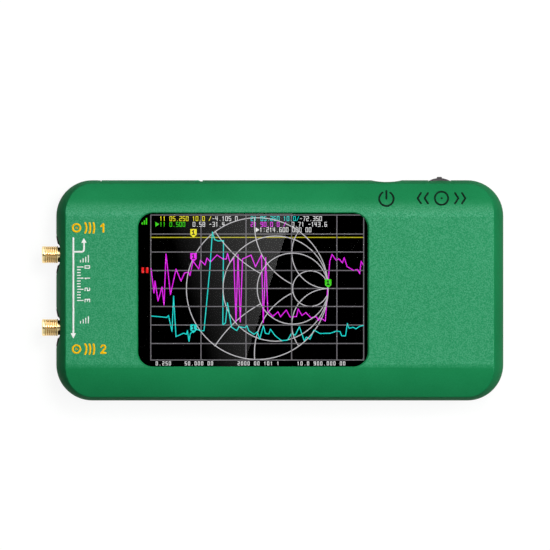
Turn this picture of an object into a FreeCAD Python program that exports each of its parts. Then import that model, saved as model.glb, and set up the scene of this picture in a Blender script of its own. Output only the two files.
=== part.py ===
import FreeCAD, Part
import math
import os

# Hand-held two-port antenna analyzer, lying on its back.
# Millimetres; +Z comes out of the screen, +X runs along the case, +Y points to the switch side.
# The origin is the centre of the back face.

# Case
case_length = 165.4
case_width = 81.5
case_height = 24.0
corner_radius = 13.3
rear_shell_depth = 12.0
wall = 2.0
side_bulge_radius = 23.2
shoulder_width = 13.65
crease_radius = 16.2
crease_turn = 18.0
shoulder_radius = 28.0
front_edge_rounding = 0.6
back_edge_chamfer = 0.8
seam_groove_width = 0.3
seam_groove_depth = 0.25
lip_thickness = 0.9
lip_height = 1.2
lip_gap = 0.1

# General clearances
seat_gap = 0.1
part_gap = 0.3
press_gap = 0.02
running_gap = 0.06

# Screen window and display stack, from the front inwards
window_length = 85.0
window_edge_distance = 12.35
window_center_x = -9.95
window_center_y = 0.2
window_corner_radius = 5.5
window_bevel = 0.5
window_lip = 0.9
gasket_thickness = 0.2
gasket_margin = 0.4
touch_panel_thickness = 1.1
module_side_border = 5.0
module_edge_border = 1.5
module_center_x = -10.0
lcd_glass_thickness = 1.2
lcd_frame_thickness = 3.9
lcd_frame_border = 1.0
lcd_rib_thickness = 1.2
lcd_rib_height = 3.4

# Main board; the ports' axis lies in the parting plane, a little above the board
board_thickness = 1.6
port_axis_above_board = 0.6
board_side_gap = 4.0
board_top_gap = 0.3
board_corner_radius = 6.0

# Coaxial ports on the left side
port_1_y = 13.2
port_2_y = -13.75
port_reach = 5.3
thread_radius = 3.175
thread_length = 5.9
relief_radius = 2.75
relief_length = 1.0
port_tip_chamfer = 0.3
socket_radius = 2.3
socket_depth = 1.9
insulator_radius = 2.05
contact_radius = 0.635
contact_hole_radius = 0.47
contact_hole_depth = 2.6
contact_tail_radius = 0.5
contact_tail_length = 3.4
flange_side = 8.0
flange_thickness = 2.0
leg_side = 1.0
leg_length = 4.0
leg_spread = 2.6
port_hole_radius = 3.55
port_boss_radius = 7.4
port_wall = 3.2
port_dish_chord = 15.4
port_dish_depth = 1.5

# Case screws, which also clamp the board between the bosses of both shells
case_screw_inset_x = 10.7
case_screw_inset_y = 12.75
case_screw_radius = 1.25
case_screw_length = 11.0
case_screw_head_radius = 2.3
case_screw_head_height = 1.7
case_screw_head_depth = 5.0
boss_radius = 3.2

# Port cover with its hinge
cover_end_distance = 16.7
cover_length = 35.5
cover_height = 8.0
cover_thickness = 1.6
cover_gap = 0.25
cover_edge_rounding = 0.3
hinge_sink = 1.65
barrel_radius = 1.7
hinge_pin_radius = 0.5
hinge_pin_seat = 1.9
bay_wall = 2.2
bay_side = 2.6
notch_width = 1.0
notch_depth = 0.5
notch_height = 3.0

# Sockets behind the cover
usb_from_hinge = 10.5
usb_width = 8.94
usb_height = 3.2
usb_depth = 7.3
usb_shell_wall = 0.3
usb_tongue_width = 6.7
usb_tongue_thickness = 0.7
usb_base_depth = 1.8
usb_mouth_sink = 0.35
card_from_hinge = 26.0
card_width = 14.0
card_depth = 15.0
card_height = 1.9
card_slot_width = 11.4
card_slot_height = 0.9
card_slot_depth = 12.0
socket_window_gap = 0.3

# Power switch
switch_end_distance = 43.2
switch_travel = 2.0
switch_body_length = 9.0
switch_body_depth = 4.4
switch_body_height = 3.2
switch_body_wall = 0.6
knob_length = 3.0
knob_height = 1.5
knob_ridge = 0.35
knob_sink = 0.15
scallop_chord = 11.5
scallop_depth = 0.65

# Function wheel, its carriage and the jog switch body
wheel_end_distance = 23.65
wheel_sink = 7.2
wheel_radius = 8.0
wheel_thickness = 3.6
wheel_back = 3.2
wheel_nub_width = 1.9
wheel_nub_height = 0.45
wheel_nub_rounding = 0.3
wheel_slot_gap = 0.15
wheel_slot_flare = 1.8
wheel_edge_rounding = 0.4
post_radius = 1.4
post_head_radius = 2.2
post_head_height = 0.5
carriage_thickness = 0.8
carriage_width = 8.0
carriage_back = 4.9
carriage_front = 3.0
carriage_upstand = 0.8
stem_radius = 0.8
stem_length = 2.7
jog_travel = 0.5
jog_wall = 0.7
jog_rail_width = 1.6
jog_block_depth = 3.0
jog_ear_depth = 3.6
jog_ear_thickness = 0.8

# Battery
battery_length = 60.0
battery_width = 40.0
battery_thickness = 6.0
battery_center_x = 10.0
battery_center_y = -2.0
battery_edge_rounding = 1.2
battery_pad_thickness = 0.5
battery_pad_inset = 5.0
pen_rib_thickness = 1.2
pen_rib_height = 3.5
lead_radius = 0.55
lead_pitch = 2.0
lead_bend_radius = 3.0
lead_bend_turn = 35.0
lead_start_run = 2.0
plug_length = 4.5
plug_width = 5.6
plug_height = 2.6
header_wall = 0.7
header_back = 1.6
header_grip = 3.0

# Radio shield and chips
shield_end_distance = 9.3
shield_length = 34.0
shield_low_distance = 10.75
shield_high_distance = 16.4
shield_height = 3.0
shield_sheet = 0.2
shield_lid_depth = 1.0
shield_divider_run = 18.0
processor_side = 14.0
processor_height = 1.4
processor_x = 2.0
processor_y = 4.0
radio_chip_side = 5.0
radio_chip_height = 1.0
port_chip_run = 8.0
mixer_chip_run = 25.0
mixer_chip_y = 8.0
oscillator_length = 7.0
oscillator_width = 5.0
oscillator_height = 1.8
oscillator_run = 10.0
oscillator_y = -12.0

# Flex cable from the display to the board
flex_width = 26.0
flex_thickness = 0.3
flex_tail = 5.0
flex_connector_depth = 4.5
flex_connector_height = 1.9
flex_entry = 3.0

# Sizes and heights that follow
half_length = case_length / 2
half_width = case_width / 2
front_flat_width = case_width - 2 * shoulder_width
window_width = case_width - 2 * window_edge_distance
inner_half_length = half_length - wall
inner_half_width = half_width - wall
port_axis_z = rear_shell_depth
board_top = port_axis_z - port_axis_above_board
board_bottom = board_top - board_thickness
pocket_top = case_height - window_lip
touch_top = pocket_top - gasket_thickness
touch_bottom = touch_top - touch_panel_thickness
lcd_frame_bottom = touch_bottom - lcd_frame_thickness
module_length = window_length + 2 * module_side_border
module_width = window_width + 2 * module_edge_border
module_x1 = module_center_x + module_length / 2
flange_x = -half_length + port_wall + seat_gap
board_x0 = flange_x + flange_thickness + seat_gap
board_x1 = inner_half_length - board_side_gap
board_y0 = -inner_half_width + board_side_gap
cover_back_y = half_width - cover_thickness
bay_face_y = cover_back_y - cover_gap
bay_inner_y = bay_face_y - bay_wall
board_y1 = bay_inner_y - board_top_gap
shield_x0 = board_x0 + shield_end_distance
shield_x1 = shield_x0 + shield_length
shield_y0 = board_y0 + shield_low_distance
shield_y1 = board_y1 - shield_high_distance
shield_divider_x = shield_x0 + shield_divider_run
oscillator_x = shield_x1 + oscillator_run
hinge_y = half_width - hinge_sink
cover_left_x = -half_length + cover_end_distance
hinge_x = cover_left_x + cover_length
usb_x = hinge_x - usb_from_hinge
card_x = hinge_x - card_from_hinge
screw_x = half_length - case_screw_inset_x
screw_y = half_width - case_screw_inset_y
wheel_x = half_length - wheel_end_distance
wheel_y = half_width - wheel_sink
switch_x = half_length - switch_end_distance
wheel_z = rear_shell_depth
wheel_bottom = wheel_z - wheel_thickness / 2
wheel_top = wheel_z + wheel_thickness / 2
switch_z = board_top + switch_body_height / 2
usb_z = board_top + usb_height / 2
card_z = board_top + card_height / 2
floor_top = wall
big = 2 * case_length


def vec(x, y, z):
    return FreeCAD.Vector(x, y, z)


def block(x0, x1, y0, y1, z0, z1):
    return Part.makeBox(x1 - x0, y1 - y0, z1 - z0, vec(x0, y0, z0))


def centered_block(x, y, length, width, z0, z1):
    return block(x - length / 2, x + length / 2, y - width / 2, y + width / 2, z0, z1)


def rod_x(radius, y, z, x0, x1):
    return Part.makeCylinder(radius, x1 - x0, vec(x0, y, z), vec(1, 0, 0))


def rod_y(radius, x, z, y0, y1):
    return Part.makeCylinder(radius, y1 - y0, vec(x, y0, z), vec(0, 1, 0))


def rod_z(radius, x, y, z0, z1):
    return Part.makeCylinder(radius, z1 - z0, vec(x, y, z0), vec(0, 0, 1))


def group(solids):
    return Part.makeCompound(solids)


def save(name, shape):
    if shape.ShapeType == "Compound" and len(shape.Solids) == 1:
        shape = shape.Solids[0]
    shape.exportStep("parts/" + name + ".step")
    print(name, len(shape.Solids), round(shape.Volume, 2), shape.isValid())


def arc(start, middle, end):
    return Part.Arc(start, middle, end).toShape()


def line(start, end):
    return Part.makeLine(start, end)


def rounded_rectangle(x, y, length, width, radius, z):
    hx = length / 2
    hy = width / 2
    k = radius * (1 - math.sqrt(0.5))
    edges = [
        line(vec(x - hx + radius, y - hy, z), vec(x + hx - radius, y - hy, z)),
        arc(vec(x + hx - radius, y - hy, z), vec(x + hx - k, y - hy + k, z), vec(x + hx, y - hy + radius, z)),
        line(vec(x + hx, y - hy + radius, z), vec(x + hx, y + hy - radius, z)),
        arc(vec(x + hx, y + hy - radius, z), vec(x + hx - k, y + hy - k, z), vec(x + hx - radius, y + hy, z)),
        line(vec(x + hx - radius, y + hy, z), vec(x - hx + radius, y + hy, z)),
        arc(vec(x - hx + radius, y + hy, z), vec(x - hx + k, y + hy - k, z), vec(x - hx, y + hy - radius, z)),
        line(vec(x - hx, y + hy - radius, z), vec(x - hx, y - hy + radius, z)),
        arc(vec(x - hx, y - hy + radius, z), vec(x - hx + k, y - hy + k, z), vec(x - hx + radius, y - hy, z)),
    ]
    return Part.Wire(edges)


def rounded_block(x, y, length, width, radius, z0, z1):
    face = Part.Face(rounded_rectangle(x, y, length, width, radius, z0))
    return face.extrude(vec(0, 0, z1 - z0))


# Outer form of the case, drawn in by an inset so that walls keep one thickness


def bulge(inset, height):
    radius = side_bulge_radius - inset
    rise = height - rear_shell_depth
    return math.sqrt(radius * radius - rise * rise) - side_bulge_radius


def long_slab(inset, across_x):
    low = inset
    high = case_height - inset
    half = half_length if across_x else half_width
    reach = (half_width if across_x else half_length) - corner_radius

    def at(sideways, height):
        return vec(sideways, -reach, height) if across_x else vec(-reach, sideways, height)

    bottom = half + bulge(inset, low)
    top = half + bulge(inset, high)
    middle = half + bulge(inset, rear_shell_depth)
    wire = Part.Wire([
        line(at(-bottom, low), at(bottom, low)),
        arc(at(bottom, low), at(middle, rear_shell_depth), at(top, high)),
        line(at(top, high), at(-top, high)),
        arc(at(-top, high), at(-middle, rear_shell_depth), at(-bottom, low)),
    ])
    along = vec(0, 2 * reach, 0) if across_x else vec(2 * reach, 0, 0)
    return Part.Face(wire).extrude(along)


def corner_wedge(inset, quarter):
    low = inset
    high = case_height - inset
    bottom = corner_radius + bulge(inset, low)
    top = corner_radius + bulge(inset, high)
    middle = corner_radius + bulge(inset, rear_shell_depth)
    wire = Part.Wire([
        line(vec(0, 0, low), vec(bottom, 0, low)),
        arc(vec(bottom, 0, low), vec(middle, 0, rear_shell_depth), vec(top, 0, high)),
        line(vec(top, 0, high), vec(0, 0, high)),
        line(vec(0, 0, high), vec(0, 0, low)),
    ])
    wedge = Part.Face(wire).revolve(vec(0, 0, 0), vec(0, 0, 1), 90)
    wedge.rotate(vec(0, 0, 0), vec(0, 0, 1), 90 * quarter)
    side_x = 1 if quarter in (0, 3) else -1
    side_y = 1 if quarter in (0, 1) else -1
    wedge.translate(vec(side_x * (half_length - corner_radius), side_y * (half_width - corner_radius), 0))
    return wedge


def shoulder_center():
    turn = math.radians(crease_turn)
    y = front_flat_width / 2 + (crease_radius - shoulder_radius) * math.sin(turn)
    z = case_height - crease_radius + (crease_radius - shoulder_radius) * math.cos(turn)
    return y, z


def loaf(inset):
    flat = front_flat_width / 2
    top = case_height - inset
    crease = crease_radius - inset
    shoulder = shoulder_radius - inset
    crease_z = case_height - crease_radius
    center_y, center_z = shoulder_center()

    def on_crease(share, side):
        turn = math.radians(crease_turn * share)
        return vec(-big / 2, side * (flat + crease * math.sin(turn)), crease_z + crease * math.cos(turn))

    def on_shoulder(degrees, side):
        turn = math.radians(degrees)
        y = center_y + shoulder * math.sin(turn)
        return vec(-big / 2, side * y, center_z + shoulder * math.cos(turn))

    last = 70.0
    between = (crease_turn + last) / 2
    left_low = vec(-big / 2, on_shoulder(last, -1).y, -wall)
    right_low = vec(-big / 2, on_shoulder(last, 1).y, -wall)
    wire = Part.Wire([
        line(left_low, on_shoulder(last, -1)),
        arc(on_shoulder(last, -1), on_shoulder(between, -1), on_shoulder(crease_turn, -1)),
        arc(on_crease(1, -1), on_crease(0.5, -1), on_crease(0, -1)),
        line(vec(-big / 2, -flat, top), vec(-big / 2, flat, top)),
        arc(on_crease(0, 1), on_crease(0.5, 1), on_crease(1, 1)),
        arc(on_shoulder(crease_turn, 1), on_shoulder(between, 1), on_shoulder(last, 1)),
        line(on_shoulder(last, 1), right_low),
        line(right_low, left_low),
    ])
    return Part.Face(wire).extrude(vec(big, 0, 0))


def case_form(inset):
    blocks = [long_slab(inset, False)]
    blocks += [corner_wedge(inset, quarter) for quarter in range(4)]
    form = long_slab(inset, True).fuse(blocks).removeSplitter()
    return form.common(loaf(inset)).removeSplitter()


def plan_inset(point):
    past_x = max(abs(point.x) - half_length + corner_radius, 0)
    past_y = max(abs(point.y) - half_width + corner_radius, 0)
    return corner_radius - math.hypot(past_x, past_y)


def rim_edges(form, front):
    found = []
    for edge in form.Edges:
        points = edge.discretize(5)
        off = 0
        for point in points:
            off = max(off, abs(plan_inset(point) + bulge(0, point.z)))
        level = min(point.z for point in points)
        highest = max(point.z for point in points)
        if off < 0.01 and front and level > rear_shell_depth + 2 and highest - level < case_height / 3:
            found.append(edge)
        if off < 0.01 and not front and highest < 0.01:
            found.append(edge)
    return found


def outer_case():
    form = case_form(0)
    form = form.makeChamfer(back_edge_chamfer, rim_edges(form, False))
    return form.makeFillet(front_edge_rounding, rim_edges(form, True))


def slab(z0, z1):
    return block(-big / 2, big / 2, -big / 2, big / 2, z0, z1)


def upright_form(inset, z0, z1):
    return rounded_block(0, 0, case_length - 2 * inset, case_width - 2 * inset, corner_radius - inset, z0, z1)


def ring_between(outer_inset, inner_inset, z0, z1):
    return upright_form(outer_inset, z0, z1).cut(upright_form(inner_inset, z0, z1))


# Features that pass through both shells


def port_places():
    return [port_1_y, port_2_y]


def scallop_radius(chord, depth):
    return chord * chord / (8 * depth) + depth / 2


def port_cutters():
    radius = scallop_radius(port_dish_chord, port_dish_depth)
    hole_end = -half_length + 2 * port_wall
    cutters = []
    for y in port_places():
        cutters.append(rod_x(port_hole_radius, y, port_axis_z, -half_length - wall, hole_end))
        cutters.append(rod_z(radius, -half_length + port_dish_depth - radius, y, 0, case_height))
    return cutters


def port_bosses():
    inner_end = -half_length + port_wall
    return [rod_x(port_boss_radius, y, port_axis_z, -half_length, inner_end) for y in port_places()]


def cover_bay_block():
    x0 = cover_left_x - bay_side
    x1 = hinge_x + barrel_radius + bay_side
    reach = cover_height / 2 + cover_gap + hinge_pin_seat + wall / 2
    return block(x0, x1, bay_inner_y, half_width, rear_shell_depth - reach, rear_shell_depth + reach)


def cover_bay_cutters():
    half = cover_height / 2 + cover_gap
    low = rear_shell_depth - half
    high = rear_shell_depth + half
    recess = block(cover_left_x - cover_gap, hinge_x, bay_face_y, half_width + wall, low, high)
    barrel_room = rod_z(barrel_radius + cover_gap, hinge_x, hinge_y, low, high)
    room_x = hinge_x + barrel_radius + cover_gap
    barrel_door = block(hinge_x, room_x, hinge_y, half_width + wall, low, high)
    pin_radius = hinge_pin_radius + press_gap
    pin_hole = rod_z(pin_radius, hinge_x, hinge_y, low - hinge_pin_seat, high + hinge_pin_seat)
    notch_x = cover_left_x - cover_gap
    notch_low = rear_shell_depth - notch_height / 2
    notch = block(
        notch_x - notch_width, notch_x, half_width - notch_depth, half_width + wall,
        notch_low, notch_low + notch_height)
    gap = socket_window_gap
    start_y = bay_inner_y - wall
    usb_window = stadium_y(usb_x, usb_z, usb_width, usb_height, gap, start_y, half_width)
    card_window = block(
        card_x - card_width / 2 - gap, card_x + card_width / 2 + gap, start_y, half_width,
        board_top - gap, board_top + card_height + gap)
    return [recess, barrel_room, barrel_door, pin_hole, notch, usb_window, card_window]


def stadium_y(x, z, width, height, grow, y0, y1):
    radius = height / 2 + grow
    reach = width / 2 - height / 2
    shape = block(x - reach, x + reach, y0, y1, z - radius, z + radius)
    ends = [rod_y(radius, x + side * reach, z, y0, y1) for side in (-1, 1)]
    return shape.fuse(ends).removeSplitter()


def switch_block():
    side = scallop_chord + wall
    low = switch_z - side / 2
    back_y = inner_half_width - wall / 2
    return centered_block(switch_x, (back_y + half_width) / 2, side, half_width - back_y, low, low + side)


def switch_cutters():
    radius = scallop_radius(scallop_chord, scallop_depth)
    dish = rod_z(radius, switch_x, half_width - scallop_depth + radius, 0, case_height)
    length = knob_length + switch_travel + 2 * part_gap
    rise = knob_height / 2 + part_gap
    slot = centered_block(switch_x, inner_half_width, length, 2 * wall, switch_z - rise, switch_z + rise)
    return [dish, slot]


def wheel_cutter():
    radius = wheel_radius + wheel_slot_gap
    low = wheel_bottom - part_gap
    high = wheel_top + part_gap
    flare = wheel_slot_flare
    wire = Part.makePolygon([
        vec(0, 0, low), vec(radius - flare, 0, low), vec(radius, 0, low - flare),
        vec(radius, 0, high + flare), vec(radius - flare, 0, high), vec(0, 0, high), vec(0, 0, low)])
    cutter = Part.Face(wire).revolve(vec(0, 0, 0), vec(0, 0, 1), 360)
    cutter.translate(vec(wheel_x, wheel_y, 0))
    return cutter


def screw_places():
    return [(side_x * screw_x, side_y * screw_y) for side_x in (-1, 1) for side_y in (-1, 1)]


def lip_breaks():
    low = rear_shell_depth
    high = rear_shell_depth + lip_height + lip_gap
    bay = cover_bay_block().BoundBox
    knob = switch_block().BoundBox
    wheel_half = wheel_radius + wheel_slot_gap
    spans = [(bay.XMin - part_gap, bay.XMax + part_gap), (knob.XMin - part_gap, knob.XMax + part_gap),
             (wheel_x - wheel_half, wheel_x + wheel_half)]
    breaks = [block(x0, x1, 0, half_width, low, high) for x0, x1 in spans]
    half = port_boss_radius + part_gap
    breaks += [block(-half_length, 0, y - half, y + half, low, high) for y in port_places()]
    return breaks


def shell_half(outer, z0, z1):
    hollow = outer.cut(case_form(wall)).common(slab(z0, z1))
    inside = case_form(part_gap).common(slab(z0, z1))
    fillers = group(port_bosses() + [cover_bay_block(), switch_block()]).common(inside)
    return hollow, fillers.Solids


def seam_groove():
    half = seam_groove_width / 2
    return ring_between(-1, seam_groove_depth, rear_shell_depth - half, rear_shell_depth + half)


def front_shell(outer):
    hollow, fillers = shell_half(outer, rear_shell_depth, case_height)
    outer_inset = wall - lip_thickness - lip_gap
    groove_top = rear_shell_depth + lip_height + lip_gap
    shell = hollow.cut(ring_between(outer_inset, wall + 1, rear_shell_depth - 1, groove_top))
    shell = shell.fuse(fillers + lcd_ribs() + front_bosses()).common(outer)
    cutters = port_cutters() + cover_bay_cutters() + switch_cutters()
    cutters += [wheel_cutter(), seam_groove(), display_pocket(), window_opening()]
    for x, y in screw_places():
        cutters.append(rod_z(case_screw_radius + press_gap, x, y, 0, screw_tip() + part_gap))
    return shell.cut(cutters).removeSplitter()


def screw_tip():
    return case_screw_head_depth + case_screw_length


def front_bosses():
    return [rod_z(boss_radius, x, y, board_top, pocket_top) for x, y in screw_places()]


def display_pocket():
    return module_block(-part_gap, lcd_frame_bottom - 1, pocket_top)


def window_opening():
    x = window_center_x
    y = window_center_y
    radius = window_corner_radius
    through = rounded_block(x, y, window_length, window_width, radius, pocket_top - 1, case_height + 1)
    grow = 2 * window_bevel
    low = rounded_rectangle(x, y, window_length, window_width, radius, case_height - window_bevel)
    high = rounded_rectangle(
        x, y, window_length + 2 * grow, window_width + 2 * grow, radius + grow, case_height + window_bevel)
    bevel = Part.makeLoft([low, high], True, True)
    return through.fuse(bevel)


def lcd_ribs():
    rib = lcd_rib_thickness
    low = pocket_top - wall - lcd_rib_height
    x = module_center_x
    y = window_center_y
    half = module_length / 2 + part_gap
    rise = module_width / 2 + part_gap
    ribs = [block(x - half, x + half, y + rise, y + rise + rib, low, pocket_top)]
    ribs.append(block(x - half, x + half, y - rise - rib, y - rise, low, pocket_top))
    ribs.append(block(x - half - rib, x - half, y - rise - rib, y + rise + rib, low, pocket_top))
    clear = flex_width / 2 + 2 * part_gap
    ribs.append(block(x + half, x + half + rib, y + clear, y + rise + rib, low, pocket_top))
    ribs.append(block(x + half, x + half + rib, y - rise - rib, y - clear, low, pocket_top))
    return ribs


def rear_shell(outer):
    hollow, fillers = shell_half(outer, 0, rear_shell_depth)
    lip = ring_between(wall - lip_thickness, wall, rear_shell_depth, rear_shell_depth + lip_height)
    lip = lip.cut(lip_breaks())
    bosses = [rod_z(boss_radius, x, y, floor_top / 2, board_bottom) for x, y in screw_places()]
    shell = hollow.fuse(fillers + [lip] + bosses + battery_pen()).removeSplitter()
    head_room = case_screw_head_radius + part_gap
    cutters = port_cutters() + cover_bay_cutters() + switch_cutters() + [wheel_cutter(), seam_groove()]
    for x, y in screw_places():
        cutters.append(rod_z(case_screw_radius + 2 * seat_gap, x, y, 0, case_height))
        cutters.append(rod_z(head_room, x, y, -1, case_screw_head_depth))
    return shell.cut(cutters).removeSplitter()


def battery_pen():
    rib = pen_rib_thickness
    x0 = battery_center_x - battery_length / 2 - part_gap
    x1 = battery_center_x + battery_length / 2 + part_gap
    y0 = battery_center_y - battery_width / 2 - part_gap
    y1 = battery_center_y + battery_width / 2 + part_gap
    high = floor_top + pen_rib_height
    outer = block(x0 - rib, x1 + rib, y0 - rib, y1 + rib, floor_top / 2, high)
    pen = outer.cut(block(x0, x1, y0, y1, 0, high + 1))
    exit_width = lead_pitch + 2 * lead_radius + 4 * part_gap
    return [pen.cut(centered_block(x1, battery_center_y, 4 * rib, exit_width, floor_top, big))]


# Display


def module_block(drawn_in, z0, z1):
    length = module_length - 2 * drawn_in
    width = module_width - 2 * drawn_in
    return centered_block(module_center_x, window_center_y, length, width, z0, z1)


def touch_panel():
    return module_block(0, touch_bottom, touch_top)


def screen_gasket():
    frame = module_block(0, touch_top, pocket_top)
    inner = rounded_block(
        window_center_x, window_center_y, window_length + 2 * gasket_margin, window_width + 2 * gasket_margin,
        window_corner_radius, touch_top - 1, pocket_top + 1)
    return frame.cut(inner)


def lcd_frame():
    frame = module_block(0, lcd_frame_bottom, touch_bottom)
    shelf = touch_bottom - seat_gap - lcd_glass_thickness
    return frame.cut(module_block(lcd_frame_border, shelf, touch_bottom + 1))


def lcd_panel():
    top = touch_bottom - seat_gap
    return module_block(lcd_frame_border + seat_gap, top - lcd_glass_thickness, top)


def flex_middle():
    return board_top + flex_connector_height / 2


def lcd_flex():
    outer = (lcd_frame_bottom - flex_middle() + flex_thickness / 2) / 2
    inner = outer - flex_thickness
    center_z = lcd_frame_bottom - outer
    x = module_x1
    top = vec(x, 0, center_z + outer)
    wire = Part.Wire([
        line(vec(x - flex_tail, 0, center_z + outer), top),
        arc(top, vec(x + outer, 0, center_z), vec(x, 0, center_z - outer)),
        line(vec(x, 0, center_z - outer), vec(x - flex_tail, 0, center_z - outer)),
        line(vec(x - flex_tail, 0, center_z - outer), vec(x - flex_tail, 0, center_z - inner)),
        line(vec(x - flex_tail, 0, center_z - inner), vec(x, 0, center_z - inner)),
        arc(vec(x, 0, center_z - inner), vec(x + inner, 0, center_z), vec(x, 0, center_z + inner)),
        line(vec(x, 0, center_z + inner), vec(x - flex_tail, 0, center_z + inner)),
        line(vec(x - flex_tail, 0, center_z + inner), vec(x - flex_tail, 0, center_z + outer)),
    ])
    flex = Part.Face(wire).extrude(vec(0, flex_width, 0))
    flex.translate(vec(0, window_center_y - flex_width / 2, 0))
    return flex


def flex_connector():
    x1 = module_x1 - flex_tail + flex_entry
    x0 = x1 - flex_connector_depth
    width = flex_width + 2
    body = centered_block(
        (x0 + x1) / 2, window_center_y, x1 - x0, width, board_top, board_top + flex_connector_height)
    half = flex_thickness / 2 + press_gap
    slot = centered_block(
        x1, window_center_y, 2 * flex_entry + 2 * press_gap, flex_width + 2 * press_gap,
        flex_middle() - half, flex_middle() + half)
    return body.cut(slot)


# Main board and what stands on it


def main_board():
    length = board_x1 - board_x0
    width = board_y1 - board_y0
    x = (board_x0 + board_x1) / 2
    y = (board_y0 + board_y1) / 2
    board = rounded_block(x, y, length, width, board_corner_radius, board_bottom, board_top)
    cutters = [rod_z(case_screw_radius + 2 * seat_gap, x, y, 0, case_height) for x, y in screw_places()]
    half = wheel_radius + wheel_slot_gap + part_gap
    cutters.append(block(wheel_x - half, wheel_x + half, jog_back_y() - part_gap, big, 0, case_height))
    return board.cut(cutters)


def port_jack(y):
    tip = -half_length - port_reach
    thread_end = tip + thread_length
    relief_end = thread_end + relief_length
    flange_end = flange_x + flange_thickness
    cut = port_tip_chamfer
    z = port_axis_z
    wire = Part.makePolygon([
        vec(tip, 0, socket_radius), vec(tip, 0, thread_radius - cut), vec(tip + cut, 0, thread_radius),
        vec(thread_end, 0, thread_radius), vec(thread_end, 0, relief_radius),
        vec(relief_end, 0, relief_radius), vec(relief_end, 0, thread_radius),
        vec(flange_end, 0, thread_radius),
        vec(flange_end, 0, insulator_radius), vec(tip + socket_depth, 0, insulator_radius),
        vec(tip + socket_depth, 0, socket_radius), vec(tip, 0, socket_radius)])
    barrel = Part.Face(wire).revolve(vec(0, 0, 0), vec(1, 0, 0), 360)
    barrel.translate(vec(0, y, z))
    half = flange_side / 2
    flange = block(flange_x, flange_end, y - half, y + half, z - half, z + half)
    flange = flange.cut(rod_x(insulator_radius, y, z, flange_x - 1, flange_end + 1))
    legs = []
    for side in (-1, 1):
        middle = y + side * leg_spread
        for low in (board_top, board_bottom - leg_side):
            legs.append(block(
                flange_end - leg_side, flange_end + leg_length, middle - leg_side / 2, middle + leg_side / 2,
                low, low + leg_side))
    return barrel.fuse([flange] + legs).removeSplitter()


def port_insulator(y):
    start = -half_length - port_reach + socket_depth
    end = flange_x + flange_thickness
    body = rod_x(insulator_radius - press_gap, y, port_axis_z, start, end)
    return body.cut(rod_x(contact_radius, y, port_axis_z, start - 1, end + 1))


def port_contact(y):
    start = -half_length - port_reach + socket_depth
    end = flange_x + flange_thickness
    pin = rod_x(contact_radius - press_gap, y, port_axis_z, start, end)
    tail = rod_x(contact_tail_radius, y, port_axis_z, end - 1, end + contact_tail_length)
    hole = rod_x(contact_hole_radius, y, port_axis_z, start - 1, start + contact_hole_depth)
    return pin.fuse(tail).cut(hole)


def shield_block(grow, z0, z1):
    return block(shield_x0 - grow, shield_x1 + grow, shield_y0 - grow, shield_y1 + grow, z0, z1)


def shield_frame():
    low_y = shield_y0 + shield_sheet
    high_y = shield_y1 - shield_sheet
    half = shield_sheet / 2
    cutters = [
        block(shield_x0 + shield_sheet, shield_divider_x - half, low_y, high_y, 0, big),
        block(shield_divider_x + half, shield_x1 - shield_sheet, low_y, high_y, 0, big),
    ]
    radius = contact_tail_radius + part_gap
    cutters += [rod_x(radius, y, port_axis_z, shield_x0 - 1, shield_x0 + 1) for y in port_places()]
    return shield_block(0, board_top, board_top + shield_height).cut(cutters)


def shield_lid():
    top = board_top + shield_height
    cap = shield_block(shield_sheet + seat_gap, top - shield_lid_depth, top + shield_sheet)
    return cap.cut(shield_block(seat_gap, board_top, top))


def chip(x, y, length, width, height):
    body = centered_block(x, y, length, width, board_top, board_top + height)
    upper = [e for e in body.Edges if min(v.Point.z for v in e.Vertexes) > board_top + height / 2]
    return body.makeChamfer(height / 5, upper)


def processor_chip():
    return chip(processor_x, processor_y, processor_side, processor_side, processor_height)


def oscillator_can():
    return chip(oscillator_x, oscillator_y, oscillator_length, oscillator_width, oscillator_height)


def radio_chips():
    port_chip_x = shield_x0 + port_chip_run
    mixer_chip_x = shield_x0 + mixer_chip_run
    places = [(port_chip_x, y) for y in port_places()]
    places += [(mixer_chip_x, mixer_chip_y), (mixer_chip_x, -mixer_chip_y)]
    return group([chip(x, y, radio_chip_side, radio_chip_side, radio_chip_height) for x, y in places])


def usb_mouth_y():
    return bay_face_y - usb_mouth_sink


def usb_socket_shell():
    mouth = usb_mouth_y()
    outer = stadium_y(usb_x, usb_z, usb_width, usb_height, 0, mouth - usb_depth, mouth)
    inner = stadium_y(usb_x, usb_z, usb_width, usb_height, -usb_shell_wall, mouth - usb_depth - 1, mouth + 1)
    return outer.cut(inner)


def usb_socket_tongue():
    back = usb_mouth_y() - usb_depth
    grow = -usb_shell_wall - press_gap
    base = stadium_y(usb_x, usb_z, usb_width, usb_height, grow, back, back + usb_base_depth)
    half = usb_tongue_width / 2
    thick = usb_tongue_thickness / 2
    tip = usb_mouth_y() - usb_shell_wall
    tongue = block(usb_x - half, usb_x + half, back, tip, usb_z - thick, usb_z + thick)
    return base.fuse(tongue).removeSplitter()


def card_socket():
    mouth = usb_mouth_y()
    body = centered_block(
        card_x, mouth - card_depth / 2, card_width, card_depth, board_top, board_top + card_height)
    half = card_slot_height / 2
    slot = block(
        card_x - card_slot_width / 2, card_x + card_slot_width / 2, mouth - card_slot_depth, mouth + 1,
        card_z - half, card_z + half)
    return body.cut(slot)


# Power switch


def switch_front_y():
    return inner_half_width - wall / 2 - part_gap


def power_switch_body():
    front = switch_front_y()
    top = board_top + switch_body_height
    body = centered_block(
        switch_x, front - switch_body_depth / 2, switch_body_length, switch_body_depth, board_top, top)
    length = knob_length + switch_travel + 2 * seat_gap
    depth = 2 * (switch_body_depth - switch_body_wall)
    rise = knob_height / 2 + seat_gap
    return body.cut(centered_block(switch_x, front, length, depth, switch_z - rise, switch_z + rise))


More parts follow.
